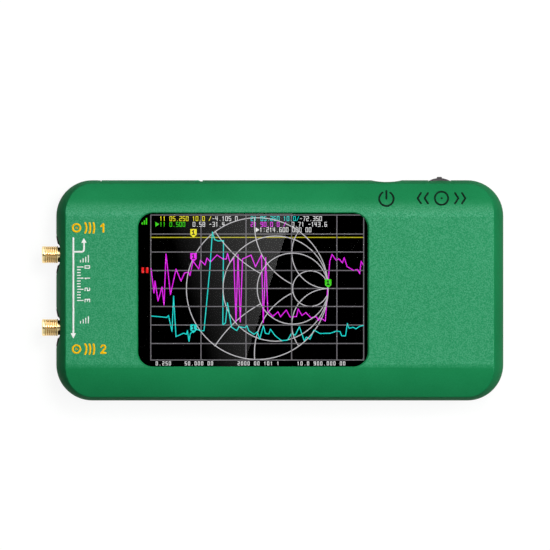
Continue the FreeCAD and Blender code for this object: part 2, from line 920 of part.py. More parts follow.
def power_switch_knob():
    x = switch_x - switch_travel / 2
    back = switch_front_y() - switch_body_depth + switch_body_wall + seat_gap
    tip = half_width - scallop_depth - knob_sink
    knob = centered_block(
        x, (back + tip) / 2, knob_length, tip - back, switch_z - knob_height / 2, switch_z + knob_height / 2)
    grooves = []
    for step in (-1, 0, 1):
        middle = x + step * 2 * knob_ridge
        grooves.append(block(
            middle - knob_ridge / 2, middle + knob_ridge / 2, tip - knob_ridge, tip + 1, 0, case_height))
    return knob.cut(grooves)


# Function wheel


def jog_front_y():
    return wheel_y - carriage_back - jog_travel - part_gap


def jog_back_y():
    return jog_front_y() - jog_block_depth


def function_wheel():
    disc = rod_z(wheel_radius, wheel_x, wheel_y, wheel_bottom, wheel_top)
    disc = disc.cut(block(-big, big, -big, wheel_y - wheel_back, 0, case_height))
    disc = disc.makeChamfer(wheel_edge_rounding, [edge for edge in disc.Edges if flat_rim(edge)])
    disc = disc.fuse(wheel_nub()).removeSplitter()
    return disc.cut(rod_z(post_radius + running_gap, wheel_x, wheel_y, 0, case_height))


def wheel_nub():
    tip = wheel_y + wheel_radius + wheel_nub_height
    half = wheel_nub_width / 2
    nub = block(
        wheel_x - half, wheel_x + half, tip - 2 * wheel_nub_width, tip,
        wheel_bottom + wheel_edge_rounding, wheel_top - wheel_edge_rounding)
    corners = [e for e in nub.Edges if e.BoundBox.YMin > tip - 0.01 and e.BoundBox.ZLength > wheel_nub_width]
    return nub.makeFillet(wheel_nub_rounding, corners)


def flat_rim(edge):
    points = edge.discretize(5)
    level = max(p.z for p in points) - min(p.z for p in points) < 0.01
    away = min(math.hypot(p.x - wheel_x, p.y - wheel_y) for p in points)
    return level and away > wheel_radius - 0.01


def jog_carriage():
    thick = carriage_thickness
    top = wheel_bottom - part_gap
    low = top - thick
    plate = block(
        wheel_x - carriage_width / 2, wheel_x + carriage_width / 2, wheel_y - carriage_back,
        wheel_y + carriage_front, low, top)
    collar = rod_z(post_head_radius, wheel_x, wheel_y, low, wheel_bottom - running_gap)
    head_low = wheel_top + running_gap
    post = rod_z(post_radius, wheel_x, wheel_y, low, head_low)
    head = rod_z(post_head_radius, wheel_x, wheel_y, head_low, head_low + post_head_height)
    back_y = wheel_y - carriage_back
    upstand = block(
        wheel_x - carriage_width / 2, wheel_x + carriage_width / 2, back_y, back_y + carriage_upstand,
        low, wheel_z + stem_radius)
    stem = rod_y(stem_radius, wheel_x, stem_z(), back_y - stem_length, back_y)
    return plate.fuse([collar, post, head, upstand, stem]).removeSplitter()


def stem_z():
    return wheel_z - stem_radius / 2


def jog_switch_body():
    half = carriage_width / 2 + seat_gap + jog_rail_width
    plate_top = wheel_bottom - part_gap
    plate_low = plate_top - carriage_thickness
    base_top = plate_low - seat_gap
    base_low = base_top - jog_wall
    front = wheel_y + carriage_front
    tray = block(wheel_x - half, wheel_x + half, jog_back_y(), front, base_low, plate_top)
    tray = tray.cut(centered_block(
        wheel_x, jog_front_y() + big / 2, carriage_width + 2 * seat_gap, big, base_top, case_height))
    top = wheel_z + stem_radius + 1
    back_block = block(wheel_x - half, wheel_x + half, jog_back_y(), jog_front_y(), base_low, top)
    ear = block(
        wheel_x - half, wheel_x + half, jog_back_y() - jog_ear_depth, jog_back_y(), board_top,
        board_top + jog_ear_thickness)
    bore_end = wheel_y - carriage_back - stem_length - jog_travel - part_gap
    bore = rod_y(stem_radius + running_gap, wheel_x, stem_z(), bore_end, jog_front_y() + 1)
    return tray.fuse([back_block, ear]).cut(bore).removeSplitter()


# Port cover


def port_cover(outer):
    half = cover_height / 2
    low = rear_shell_depth - half
    high = rear_shell_depth + half
    skin = block(cover_left_x, hinge_x, cover_back_y, half_width + 1, low, high).common(outer)
    free_end = [e for e in skin.Edges if max(v.Point.x for v in e.Vertexes) < cover_left_x + 0.01
                and min(v.Point.y for v in e.Vertexes) > cover_back_y + 0.5]
    skin = skin.makeFillet(cover_edge_rounding, free_end)
    barrel = rod_z(barrel_radius, hinge_x, hinge_y, low, high)
    bore = rod_z(hinge_pin_radius + running_gap, hinge_x, hinge_y, 0, case_height)
    return skin.fuse(barrel).cut(bore).removeSplitter()


def cover_hinge_pin():
    half = cover_height / 2 + cover_gap + hinge_pin_seat - seat_gap
    return rod_z(hinge_pin_radius, hinge_x, hinge_y, rear_shell_depth - half, rear_shell_depth + half)


# Battery


def battery_low():
    return floor_top + battery_pad_thickness


def battery_cell():
    low = battery_low()
    cell = centered_block(
        battery_center_x, battery_center_y, battery_length, battery_width, low, low + battery_thickness)
    return cell.makeFillet(battery_edge_rounding, [e for e in cell.Edges if e.BoundBox.XLength > 1])


def battery_pad():
    length = battery_length - 2 * battery_pad_inset
    width = battery_width - 2 * battery_pad_inset
    return centered_block(battery_center_x, battery_center_y, length, width, floor_top, battery_low())


def header_places():
    run = 2 * lead_start_run + 2 * lead_bend_radius * math.sin(math.radians(lead_bend_turn))
    plug_x = battery_center_x + battery_length / 2 + run
    rise = 2 * lead_bend_radius * (1 - math.cos(math.radians(lead_bend_turn)))
    start_z = battery_low() + battery_thickness / 2
    return plug_x, start_z, start_z + rise


def lead_section(x, y, z):
    corners = []
    for step in range(7):
        turn = math.radians(60 * step)
        corners.append(vec(x, y + lead_radius * math.cos(turn), z + lead_radius * math.sin(turn)))
    return Part.makePolygon(corners)


def battery_leads():
    plug_x, start_z, end_z = header_places()
    start_x = battery_center_x + battery_length / 2
    turn = math.radians(lead_bend_turn)
    bend = lead_bend_radius
    leads = []
    for side in (-1, 1):
        y = battery_center_y + side * lead_pitch / 2
        first = vec(start_x + lead_start_run, y, start_z)
        half_first = vec(first.x + bend * math.sin(turn / 2), y, start_z + bend * (1 - math.cos(turn / 2)))
        mid = vec(first.x + bend * math.sin(turn), y, start_z + bend * (1 - math.cos(turn)))
        last = vec(first.x + 2 * bend * math.sin(turn), y, end_z)
        half_last = vec(last.x - bend * math.sin(turn / 2), y, end_z - bend * (1 - math.cos(turn / 2)))
        path = Part.Wire([
            line(vec(start_x, y, start_z), first), arc(first, half_first, mid), arc(mid, half_last, last),
            line(last, vec(plug_x, y, end_z))])
        leads.append(path.makePipeShell([lead_section(start_x, y, start_z)], True, False))
    return group(leads)


def battery_plug():
    plug_x, _, z = header_places()
    x = plug_x + plug_length / 2
    low = z - plug_height / 2
    return centered_block(x, battery_center_y, plug_length, plug_width, low, low + plug_height)


def battery_header():
    plug_x, _, z = header_places()
    low = z - plug_height / 2 - header_wall
    plug_end = plug_x + plug_length
    x0 = plug_end - header_grip
    length = header_grip + header_back
    width = plug_width + 2 * header_wall
    body = centered_block(x0 + length / 2, battery_center_y, length, width, low, board_bottom)
    rise = plug_height / 2 + press_gap
    room_length = 2 * (plug_length + press_gap)
    room_width = plug_width + 2 * press_gap
    room = centered_block(plug_x, battery_center_y, room_length, room_width, z - rise, z + rise)
    return body.cut(room)


# Fasteners


def case_screws():
    screws = []
    for x, y in screw_places():
        head_low = case_screw_head_depth - case_screw_head_height
        head = rod_z(case_screw_head_radius, x, y, head_low, case_screw_head_depth)
        rim = [e for e in head.Edges if e.BoundBox.ZMax < head_low + 0.01]
        head = head.makeChamfer(case_screw_head_height / 3, rim)
        shank = rod_z(case_screw_radius, x, y, case_screw_head_depth - 1, screw_tip())
        screws.append(head.fuse(shank).removeSplitter())
    return group(screws)


def main():
    outer = outer_case()
    save("front_shell", front_shell(outer))
    save("rear_shell", rear_shell(outer))
    save("port_cover", port_cover(outer))
    save("cover_hinge_pin", cover_hinge_pin())
    save("touch_panel", touch_panel())
    save("screen_gasket", screen_gasket())
    save("lcd_panel", lcd_panel())
    save("lcd_frame", lcd_frame())
    save("lcd_flex", lcd_flex())
    save("flex_connector", flex_connector())
    save("main_board", main_board())
    for number, y in enumerate(port_places(), start=1):
        save(f"port_{number}_jack", port_jack(y))
        save(f"port_{number}_insulator", port_insulator(y))
        save(f"port_{number}_contact", port_contact(y))
    save("shield_frame", shield_frame())
    save("shield_lid", shield_lid())
    save("processor_chip", processor_chip())
    save("radio_chips", radio_chips())
    save("oscillator_can", oscillator_can())
    save("usb_socket_shell", usb_socket_shell())
    save("usb_socket_tongue", usb_socket_tongue())
    save("card_socket", card_socket())
    save("power_switch_body", power_switch_body())
    save("power_switch_knob", power_switch_knob())
    save("jog_switch_body", jog_switch_body())
    save("jog_carriage", jog_carriage())
    save("function_wheel", function_wheel())
    save("battery_cell", battery_cell())
    save("battery_pad", battery_pad())
    save("battery_leads", battery_leads())
    save("battery_plug", battery_plug())
    save("battery_header", battery_header())
    save("case_screws", case_screws())


os.makedirs("parts", exist_ok=True)
main()
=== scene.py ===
import bmesh
import bpy
import math
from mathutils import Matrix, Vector


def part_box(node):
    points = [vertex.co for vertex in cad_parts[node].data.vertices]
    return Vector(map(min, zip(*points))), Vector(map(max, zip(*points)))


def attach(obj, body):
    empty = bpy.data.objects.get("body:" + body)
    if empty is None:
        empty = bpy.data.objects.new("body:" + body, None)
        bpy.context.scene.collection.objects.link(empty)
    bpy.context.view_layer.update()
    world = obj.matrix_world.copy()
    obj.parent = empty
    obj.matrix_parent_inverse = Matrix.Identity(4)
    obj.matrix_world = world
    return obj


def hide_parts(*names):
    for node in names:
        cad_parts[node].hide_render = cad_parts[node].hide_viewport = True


# Looks for the hand-held antenna analyzer, built around its packed construction.
# Metres; +Z comes out of the screen, +X runs away from the coaxial ports.

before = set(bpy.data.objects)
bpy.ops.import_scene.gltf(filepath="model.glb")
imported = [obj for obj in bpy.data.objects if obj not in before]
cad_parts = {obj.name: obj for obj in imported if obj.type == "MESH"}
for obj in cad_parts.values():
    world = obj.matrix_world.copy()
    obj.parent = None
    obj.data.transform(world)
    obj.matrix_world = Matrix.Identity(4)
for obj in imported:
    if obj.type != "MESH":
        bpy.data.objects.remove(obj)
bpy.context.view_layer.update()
print("frame loaded,", len(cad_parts), "nodes")

mm = 0.001
scene = bpy.context.scene


def linear(value):
    value = value / 255
    return value / 12.92 if value <= 0.04045 else ((value + 0.055) / 1.055) ** 2.4


def rgb(red, green, blue):
    return linear(red), linear(green), linear(blue), 1.0


# The view of the photograph, in which 0.37 mm covers one of its 550 pixels

view = {
    "pixelsAcross": 550,
    "mmPerPixel": 0.37,
    "originPixel": (279.8, 290.35),
    "height": 0.42,
    "clip": (0.01, 10.0),
}
pixel = view["mmPerPixel"] * mm


def fromPhoto(x, y):
    originX, originY = view["originPixel"]
    return (x - originX) * view["mmPerPixel"] * mm, (originY - y) * view["mmPerPixel"] * mm


def makeCamera():
    camera = bpy.data.cameras.new("camera")
    camera.type = "ORTHO"
    camera.ortho_scale = view["pixelsAcross"] * pixel
    holder = bpy.data.objects.new("camera", camera)
    middle = view["pixelsAcross"] / 2
    x, y = fromPhoto(middle, middle)
    holder.location = (x, y, view["height"])
    camera.clip_start, camera.clip_end = view["clip"]
    scene.collection.objects.link(holder)
    scene.camera = holder
    scene.view_settings.view_transform = "Standard"


# Studio: soft lamps above and to the upper right, a pale floor, and a white view behind it

studio = {
    "floorSize": 6.0,
    "floorTint": rgb(104, 106, 104),
    "floorLift": 0.9,
    "floorRoughness": 0.9,
    "airTint": rgb(226, 232, 230),
    "airKey": (0.5, 0.42, 0.76),
    "airFacing": (-0.6, 0.8),
    "airStrength": (0.0, 0.27),
    "mirroredAir": (0.7, 1.0),
    "flagHeights": (0.93, 0.985),
    "lamps": [
        # name, place, size, power, colour, shows in gloss
        ("overhead", (0.16, 0.33, 0.95), 0.34, 4.6, (1.0, 0.995, 0.98), True),
        ("right", (0.95, 0.25, 0.85), 0.5, 4.6, (1.0, 1.0, 1.0), True),
        ("zenith", (0.22, -0.02, 1.2), 0.5, 4.2, (0.98, 0.99, 1.0), False),
    ],
}


def addNode(tree, kind, inputs=None, **settings):
    # an input is a plain value, or another node's output, which is then linked to it
    node = tree.nodes.new(kind)
    for key, value in settings.items():
        setattr(node, key, value)
    for key, value in (inputs or {}).items():
        if isinstance(value, bpy.types.NodeSocket):
            tree.links.new(value, node.inputs[key])
        else:
            node.inputs[key].default_value = value
    return node


def makeMath(tree, operation, *values):
    return addNode(tree, "ShaderNodeMath", dict(enumerate(values)), operation=operation).outputs[0]


def dotProduct(tree, first, second):
    node = addNode(tree, "ShaderNodeVectorMath", {0: first, 1: second}, operation="DOT_PRODUCT")
    return node.outputs["Value"]


def spread(tree, value, low, high, fromLow=0.35, fromHigh=0.65):
    # carries a range of values over to another; the usual range is that of a noise
    inputs = {"Value": value, "From Min": fromLow, "From Max": fromHigh, "To Min": low, "To Max": high}
    return addNode(tree, "ShaderNodeMapRange", inputs).outputs["Result"]


def newMaterial(name, baseColour, roughness, sockets=None):
    material = bpy.data.materials.new(name)
    material.use_nodes = True
    tree = material.node_tree
    shader = tree.nodes["Principled BSDF"]
    for key, value in {"Base Color": baseColour, "Roughness": roughness, **(sockets or {})}.items():
        shader.inputs[key].default_value = value
    return material, tree, shader, addNode(tree, "ShaderNodeTexCoord").outputs["Object"]


def addObject(name, mesh, *finishes):
    for finish in finishes:
        mesh.materials.append(finish)
    piece = bpy.data.objects.new(name, mesh)
    scene.collection.objects.link(piece)
    return piece


def addMesh(name, points, edges, faces, *finishes):
    mesh = bpy.data.meshes.new(name)
    mesh.from_pydata(points, edges, faces)
    return addObject(name, mesh, *finishes)


def meshFrom(work, name):
    # the mesh being worked on, with its faces turned outwards
    bmesh.ops.recalc_face_normals(work, faces=work.faces)
    mesh = bpy.data.meshes.new(name)
    work.to_mesh(mesh)
    work.free()
    return mesh


def backgroundRays(tree):
    # the rays that see the backdrop: the camera's, and those mirrored or passed on by glass
    path = addNode(tree, "ShaderNodeLightPath").outputs
    direct = makeMath(tree, "MAXIMUM", path["Is Camera Ray"], path["Is Glossy Ray"])
    return makeMath(tree, "MAXIMUM", direct, path["Is Transmission Ray"])


def makeWorld():
    # the air lights from the upper right; gloss sees a white studio with a dark flag straight above the lens
    world = bpy.data.worlds.new("studioAir")
    scene.world = world
    world.use_nodes = True
    tree = world.node_tree
    tree.nodes.clear()
    where = addNode(tree, "ShaderNodeTexCoord").outputs["Generated"]
    facing = dotProduct(tree, where, studio["airKey"])
    height = addNode(tree, "ShaderNodeSeparateXYZ", {0: where}).outputs["Z"]
    flag = spread(tree, height, 1.0, 0.0, *studio["flagHeights"])

    def glow(strength):
        lit = spread(tree, facing, *studio[strength], *studio["airFacing"])
        inputs = {"Color": studio["airTint"], "Strength": makeMath(tree, "MULTIPLY", lit, flag)}
        return addNode(tree, "ShaderNodeBackground", inputs).outputs[0]

    white = addNode(tree, "ShaderNodeBackground", {"Color": (1, 1, 1, 1), "Strength": 1.0}).outputs[0]
    path = addNode(tree, "ShaderNodeLightPath").outputs
    seen = makeMath(tree, "MAXIMUM", path["Is Glossy Ray"], path["Is Transmission Ray"])
    air = glow("airStrength")
    mirrored = addNode(tree, "ShaderNodeMixShader", {0: seen, 1: air, 2: glow("mirroredAir")})
    mix = addNode(tree, "ShaderNodeMixShader", {0: path["Is Camera Ray"], 1: mirrored.outputs[0], 2: white})
    addNode(tree, "ShaderNodeOutputWorld", {"Surface": mix.outputs[0]})


def makeFloor():
    size = studio["floorSize"] / 2
    sockets = {"Specular IOR Level": 0.0, "Emission Color": (1, 1, 1, 1)}
    look = studio["floorTint"], studio["floorRoughness"]
    material, tree, shader = newMaterial("paleFloor", *look, sockets)[:3]
    lift = makeMath(tree, "MULTIPLY", backgroundRays(tree), studio["floorLift"])
    tree.links.new(lift, shader.inputs["Emission Strength"])
    corners = [(-size, -size, 0), (size, -size, 0), (size, size, 0), (-size, size, 0)]
    floor = addMesh("floor", corners, [], [(0, 1, 2, 3)], material)


def makeLamps():
    for name, place, size, power, colour, inGloss in studio["lamps"]:
        lamp = bpy.data.lights.new(name, "AREA")
        lamp.shape = "DISK"
        lamp.size = size
        lamp.energy = power
        lamp.color = colour
        holder = bpy.data.objects.new(name, lamp)
        holder.location = place
        holder.rotation_euler = Vector(place).to_track_quat("Z", "Y").to_euler()
        holder.visible_glossy = inGloss
        holder.visible_transmission = inGloss
        scene.collection.objects.link(holder)


# Two cards that only mirrors see: one over the screen gives its glass the soft slanting gleam of the
# photograph, and a long one behind the object lays the pale band along the ports' gold

cards = {
    "height": 0.9,
    "slantTop": (295.5, 205.0),
    "slantBottom": (241.0, 375.0),
    "fadeFrom": (168.0, 228.0),
    "fadeTo": (265.0, 228.0),
    "fadeAlong": (1.0, 0.3, 0.0),
    "margin": 10 * mm,
    "gleam": 1.2,
    "bandHalf": 0.9,
    "bandNear": (0.2, 1.3),
    "bandFar": (0.9, 0.12),
    "band": 1.8,
}


def makeCard(name, corners, strength, fade=None):
    # the fade is a direction, and the two lengths along it between which the glow grows from nothing
    material = bpy.data.materials.new(name + "Glow")
    material.use_nodes = True
    tree = material.node_tree
    tree.nodes.clear()
    if fade:
        direction, start, end = fade
        along = dotProduct(tree, addNode(tree, "ShaderNodeTexCoord").outputs["Object"], direction)
        strength = spread(tree, along, 0.0, strength, start, end)
    glow = addNode(tree, "ShaderNodeEmission", {"Strength": strength})
    addNode(tree, "ShaderNodeOutputMaterial", {"Surface": glow.outputs[0]})
    card = addMesh(name, corners, [], [(0, 1, 2, 3)], material)
    for kind in ("camera", "diffuse", "transmission", "shadow", "volume_scatter"):
        setattr(card, "visible_" + kind, False)


def makeCards():
    topX, topY = fromPhoto(*cards["slantTop"])
    bottomX, bottomY = fromPhoto(*cards["slantBottom"])
    direction = Vector(cards["fadeAlong"])
    start, end = [Vector((*fromPhoto(*cards[key]), 0.0)) for key in ("fadeFrom", "fadeTo")]
    leftX = start.x - cards["margin"]
    z = cards["height"]
    makeCard("gleamCard", [(leftX, bottomY, z), (leftX, topY, z), (topX, topY, z), (bottomX, bottomY, z)],
             cards["gleam"], (direction, start.dot(direction), end.dot(direction)))
    half = cards["bandHalf"]
    makeCard("bandCard", [(-half, *cards["bandFar"]), (half, *cards["bandFar"]), (half, *cards["bandNear"]),
                          (-half, *cards["bandNear"])], cards["band"])


# Materials; all read Object coordinates, so that a pattern keeps its size on every piece

finishLook = {
    "darker": 0.86,
    "mottleScale": 120.0,
    "mottle": (0.85, 1.25),
    "mottleLift": 0.004,
    "mouldedGloss": (-0.06, 0.08),
    "brushScale": 6000.0,
    "brushLong": 250.0,
    "brushHeight": 0.000006,
    "metalTintScale": 300.0,
    "metalGloss": (-0.05, 0.1),
    "filmScale": 60.0,
    "cellScale": 3500.0,
    "speckleScale": 2500.0,
    "inkGloss": (0.42, 0.6),
    "pictureRows": 1900.0,
}


def addNoise(tree, where, scale, detail=2.0, roughness=0.5):
    inputs = {"Vector": where, "Scale": scale, "Detail": detail, "Roughness": roughness}
    return addNode(tree, "ShaderNodeTexNoise", inputs).outputs["Fac"]


def mixColours(tree, factor, first, second):
    mix = addNode(tree, "ShaderNodeMix", {"Factor": factor, "A": first, "B": second}, data_type="RGBA")
    return mix.outputs["Result"]


def varyColour(tree, shader, factor, first, second):
    mixed = mixColours(tree, factor, first, second)
    tree.links.new(mixed, shader.inputs["Base Color"])
    return mixed


def varyRoughness(tree, shader, value, middle, either):
    tree.links.new(spread(tree, value, middle + either[0], middle + either[1]), shader.inputs["Roughness"])


def addBump(tree, shader, height, distance, strength=1.0):
    bump = addNode(tree, "ShaderNodeBump", {"Height": height, "Distance": distance, "Strength": strength})
    tree.links.new(bump.outputs["Normal"], shader.inputs["Normal"])


def shaded(colour, factor=finishLook["darker"], lift=0.0):
    return tuple(min(1, channel * factor + lift) for channel in colour[:3]) + (1.0,)


caseLook = {
    "green": rgb(31, 136, 82),
    "greenDark": rgb(24, 123, 72),
    # painted light: the paler green laid on faces turned toward the lamps
    "paintedLitGreen": rgb(38, 149, 102),
    "roughness": 0.5,
    "dullGloss": 0.012,
    "paintedSheenGloss": (0.09, 0.51),
    "paintedLitTint": (0.5, 1.2),
    "paintedLightGrain": (0.42, 0.62),
    "paintedLightFacing": (0.92, 0.96),
    "paintedLightToward": (0.6, 0.8, 0.0),
    "paintedLightFrom": (-0.1, 0.04),
    "paintedLightTo": (0.04, 0.32),
    "grainScale": 2400.0,
    "grainRoughness": 0.6,
    "grainHeight": 0.0001,
    "grainShare": 0.5,
    "cloudScale": 45.0,
}


def makeCaseGreen():
    # the front face and the creases that lean toward the upper-right lamps get more gloss and a paler green:
    # painted highlight and painted light, picked by which way the surface faces. The grain glints and breaks
    # both up; the shoulders and walls are dull
    look = caseLook
    material, tree, shader, where = newMaterial("caseGreen", look["green"], look["roughness"])
    normal = addNode(tree, "ShaderNodeTexCoord").outputs["Normal"]
    facing = addNode(tree, "ShaderNodeSeparateXYZ", {0: normal}).outputs["Z"]
    lean = dotProduct(tree, normal, look["paintedLightToward"])
    # painted light mask: high where the surface faces up and leans toward the upper-right lamps, falling off
    # over the creases
    paintedLightMask = makeMath(tree, "MULTIPLY", spread(tree, lean, 0.0, 1.0, *look["paintedLightFrom"]),
                      spread(tree, lean, 1.0, 0.0, *look["paintedLightTo"]))
    paintedLightMask = makeMath(tree, "MULTIPLY", paintedLightMask, spread(tree, facing, 0.0, 1.0, *look["paintedLightFacing"]))
    grain = addNoise(tree, where, look["grainScale"], roughness=look["grainRoughness"])
    glints = spread(tree, grain, *look["paintedSheenGloss"], *look["paintedLightGrain"])
    gloss = makeMath(tree, "MULTIPLY_ADD", paintedLightMask, glints, look["dullGloss"])
    tree.links.new(gloss, shader.inputs["Specular IOR Level"])
    cloud = addNoise(tree, where, look["cloudScale"], detail=3.0)
    fine = makeMath(tree, "MULTIPLY", grain, look["grainShare"])
    drift = makeMath(tree, "MULTIPLY_ADD", cloud, 1 - look["grainShare"], fine)
    mixed = mixColours(tree, spread(tree, drift, 0.0, 1.0), look["greenDark"], look["green"])
    tinted = spread(tree, grain, *look["paintedLitTint"], *look["paintedLightGrain"])
    # painted light: the base colour turns paler where the mask says the surface faces the lamps
    varyColour(tree, shader, makeMath(tree, "MULTIPLY", paintedLightMask, tinted), mixed, look["paintedLitGreen"])
    addBump(tree, shader, grain, look["grainHeight"], paintedLightMask)
    return material


def makeMoulded(name, colour, roughness, grainScale=1800.0, grainHeight=0.00002, sockets=None):
    # plain moulded plastic: a faint mottle, and a fine grain that also breaks up the gloss
    look = finishLook
    material, tree, shader, where = newMaterial(name, colour, roughness, sockets)
    mottle = spread(tree, addNoise(tree, where, look["mottleScale"], detail=4.0), 0.0, 1.0)
    dark, pale = look["mottle"]
    varyColour(tree, shader, mottle, shaded(colour, dark), shaded(colour, pale, look["mottleLift"]))
    grain = addNoise(tree, where, grainScale)
    varyRoughness(tree, shader, grain, roughness, look["mouldedGloss"])
    addBump(tree, shader, grain, grainHeight)
    return material


def makeMetal(name, colour, roughness, brushAlong=None):
    # metal with faint brushing or turning marks, stretched along one axis
    look = finishLook
    material, tree, shader, where = newMaterial(name, colour, roughness, {"Metallic": 1.0})
    stretch = [look["brushScale"]] * 3
    if brushAlong is not None:
        stretch[brushAlong] = look["brushLong"]
    mapping = addNode(tree, "ShaderNodeMapping", {"Vector": where, "Scale": stretch})
    marks = addNoise(tree, mapping.outputs["Vector"], 1.0, detail=3.0)
    tint = spread(tree, addNoise(tree, where, look["metalTintScale"], detail=3.0), 0.0, 1.0)
    varyColour(tree, shader, tint, shaded(colour), colour)
    varyRoughness(tree, shader, marks, roughness, look["metalGloss"])
    addBump(tree, shader, marks, look["brushHeight"])
    return material


def makeGlass():
    clear = {"Transmission Weight": 1.0, "IOR": 1.45}
    material, tree, shader, where = newMaterial("touchGlass", (1, 1, 1, 1), 0.0, clear)
    film = spread(tree, addNoise(tree, where, finishLook["filmScale"], detail=3.0), 0.0, 1.0)
    varyColour(tree, shader, film, (0.96, 0.97, 0.97, 1), (1, 1, 1, 1))
    return material


def makeDisplayBlack():
    dull = {"Specular IOR Level": 0.0}
    material, tree, shader, where = newMaterial("displayBlack", rgb(1, 1, 1), 0.4, dull)
    cells = spread(tree, addNoise(tree, where, finishLook["cellScale"]), 0.0, 1.0)
    varyColour(tree, shader, cells, rgb(0, 0, 0), rgb(2, 2, 2))
    return material


def makeInk(name, colour):
    # screen-printed ink: slightly uneven in its gloss and tint
    material, tree, shader, where = newMaterial(name, colour, 0.5, {"Specular IOR Level": 0.06})
    speckle = addNoise(tree, where, finishLook["speckleScale"])
    varyColour(tree, shader, spread(tree, speckle, 0.0, 1.0), shaded(colour), colour)
    varyRoughness(tree, shader, speckle, 0.0, finishLook["inkGloss"])
    return material


def makeLitLine(name, colour):
    # a lit line of the picture, made of fine picture rows
    material, tree, shader, where = newMaterial(name, (0, 0, 0, 1), 0.6, {"Emission Strength": 1.0})
    scale = finishLook["pictureRows"]
    rows = addNode(tree, "ShaderNodeTexWave", {"Vector": where, "Scale": scale}, bands_direction="Y")
    lit = mixColours(tree, rows.outputs["Fac"], shaded(colour), colour)
    tree.links.new(lit, shader.inputs["Emission Color"])
    return material


# Construction pieces: a smooth copy of each one that shows, in place of its loose triangles

copyLook = {"weld": 0.001 * mm, "sharpAngle": 28.0}


def smoothShade(piece, sharpAngle):
    piece.data.shade_smooth()
    piece.data.set_sharp_from_angle(angle=math.radians(sharpAngle))


def smoothCopy(node, name, material):
    work = bmesh.new()
    work.from_mesh(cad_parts[node].data)
    bmesh.ops.remove_doubles(work, verts=work.verts, dist=copyLook["weld"])
    work.verts.index_update()
    points = [vertex.co.copy() for vertex in work.verts]
    faces = [[vertex.index for vertex in face.verts] for face in work.faces]
    work.free()
    piece = addMesh(name, points, [], faces, material)
    smoothShade(piece, copyLook["sharpAngle"])
    weighted = piece.modifiers.new("faceWeights", "WEIGHTED_NORMAL")
    weighted.keep_sharp = True
    return piece


def finishPiece(piece, body, nodes=()):
    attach(piece, body)
    if nodes:
        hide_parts(*nodes)


def paintNode(node, material):
    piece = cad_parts[node]
    piece.data.materials.clear()
    piece.data.materials.append(material)


def bakeModifiers(piece):
    graph = bpy.context.evaluated_depsgraph_get()
    mesh = bpy.data.meshes.new_from_object(piece.evaluated_get(graph), depsgraph=graph)
    piece.modifiers.clear()
    piece.data = mesh
    return piece


makeCamera()
makeWorld()
makeFloor()
makeLamps()
makeCards()
print("studio ready")

mouldedLooks = {
    # colour, roughness, and the grain's scale and height where they are its own
    "gasketBlack": (rgb(14, 14, 14), 0.8),
    "frameWhite": (rgb(214, 214, 210), 0.5),
    "flexAmber": (rgb(176, 102, 28), 0.3),
    "connectorIvory": (rgb(214, 206, 184), 0.5),
    "boardGreen": (rgb(12, 74, 46), 0.32),
    "insulatorWhite": (rgb(232, 230, 222), 0.42),
    "chipBlack": (rgb(26, 26, 27), 0.55),
    "switchBlack": (rgb(30, 30, 32), 0.42),
    "wheelBlack": (rgb(34, 27, 32), 0.42),
    "carriageGrey": (rgb(110, 110, 112), 0.45),
    "padGrey": (rgb(62, 62, 62), 0.85, 900.0, 0.00008),
    "leadRed": (rgb(170, 24, 24), 0.4),
}
metalLooks = {
    # colour, roughness, and the axis of its brushing
    "portGold": (rgb(236, 196, 122), 0.2),
    "sheetSteel": (rgb(190, 190, 192), 0.32, 0),
    "cellSilver": (rgb(196, 196, 200), 0.42),
    "screwBlack": (rgb(88, 88, 92), 0.38),
}
materials = {"caseGreen": makeCaseGreen(), "touchGlass": makeGlass(), "displayBlack": makeDisplayBlack()}
for name, look in mouldedLooks.items():
    materials[name] = makeMoulded(name, *look)
for name, look in metalLooks.items():
    materials[name] = makeMetal(name, *look)

nodeLooks = {
    "screen_gasket": "gasketBlack", "lcd_panel": "displayBlack", "lcd_frame": "frameWhite",
    "lcd_flex": "flexAmber", "flex_connector": "connectorIvory", "main_board": "boardGreen",
    "shield_frame": "sheetSteel", "shield_lid": "sheetSteel", "processor_chip": "chipBlack",
    "radio_chips": "chipBlack", "oscillator_can": "sheetSteel", "usb_socket_tongue": "switchBlack",
    "card_socket": "sheetSteel", "power_switch_body": "sheetSteel", "jog_switch_body": "switchBlack",
    "battery_cell": "cellSilver", "battery_pad": "padGrey", "battery_leads": "leadRed",
    "battery_plug": "insulatorWhite", "battery_header": "connectorIvory",
    "jog_carriage": "carriageGrey", "cover_hinge_pin": "screwBlack",
    "power_switch_knob": "switchBlack", "touch_panel": "touchGlass",
}
for node, look in nodeLooks.items():
    paintNode(node, materials[look])

smoothPieces = {
    # node: piece, body, material, record slot
    "front_shell": ("front_shell_moulding", "case", "caseGreen", "case_green"),
    "rear_shell": ("rear_shell_moulding", "case", "caseGreen", "case_green"),
    "port_cover": ("port_cover_moulding", "cover", "caseGreen", "case_green"),
    "function_wheel": ("function_wheel_cap", "rocking_wheel", "wheelBlack", "wheel_black"),
    "case_screws": ("case_screw_set", "case", "screwBlack", "screw_steel"),
    "usb_socket_shell": ("usb_socket_can", "case", "sheetSteel", "sheet_steel"),
    "port_1_insulator": ("port_1_insulator_ring", "case", "insulatorWhite", "insulator_white"),
    "port_2_insulator": ("port_2_insulator_ring", "case", "insulatorWhite", "insulator_white"),
    "port_1_contact": ("port_1_contact_pin", "case", "portGold", "port_gold"),
    "port_2_contact": ("port_2_contact_pin", "case", "portGold", "port_gold"),
}
for node, (name, body, look, slot) in smoothPieces.items():
    finishPiece(bakeModifiers(smoothCopy(node, name, materials[look])), body, [node])
print("construction pieces finished")
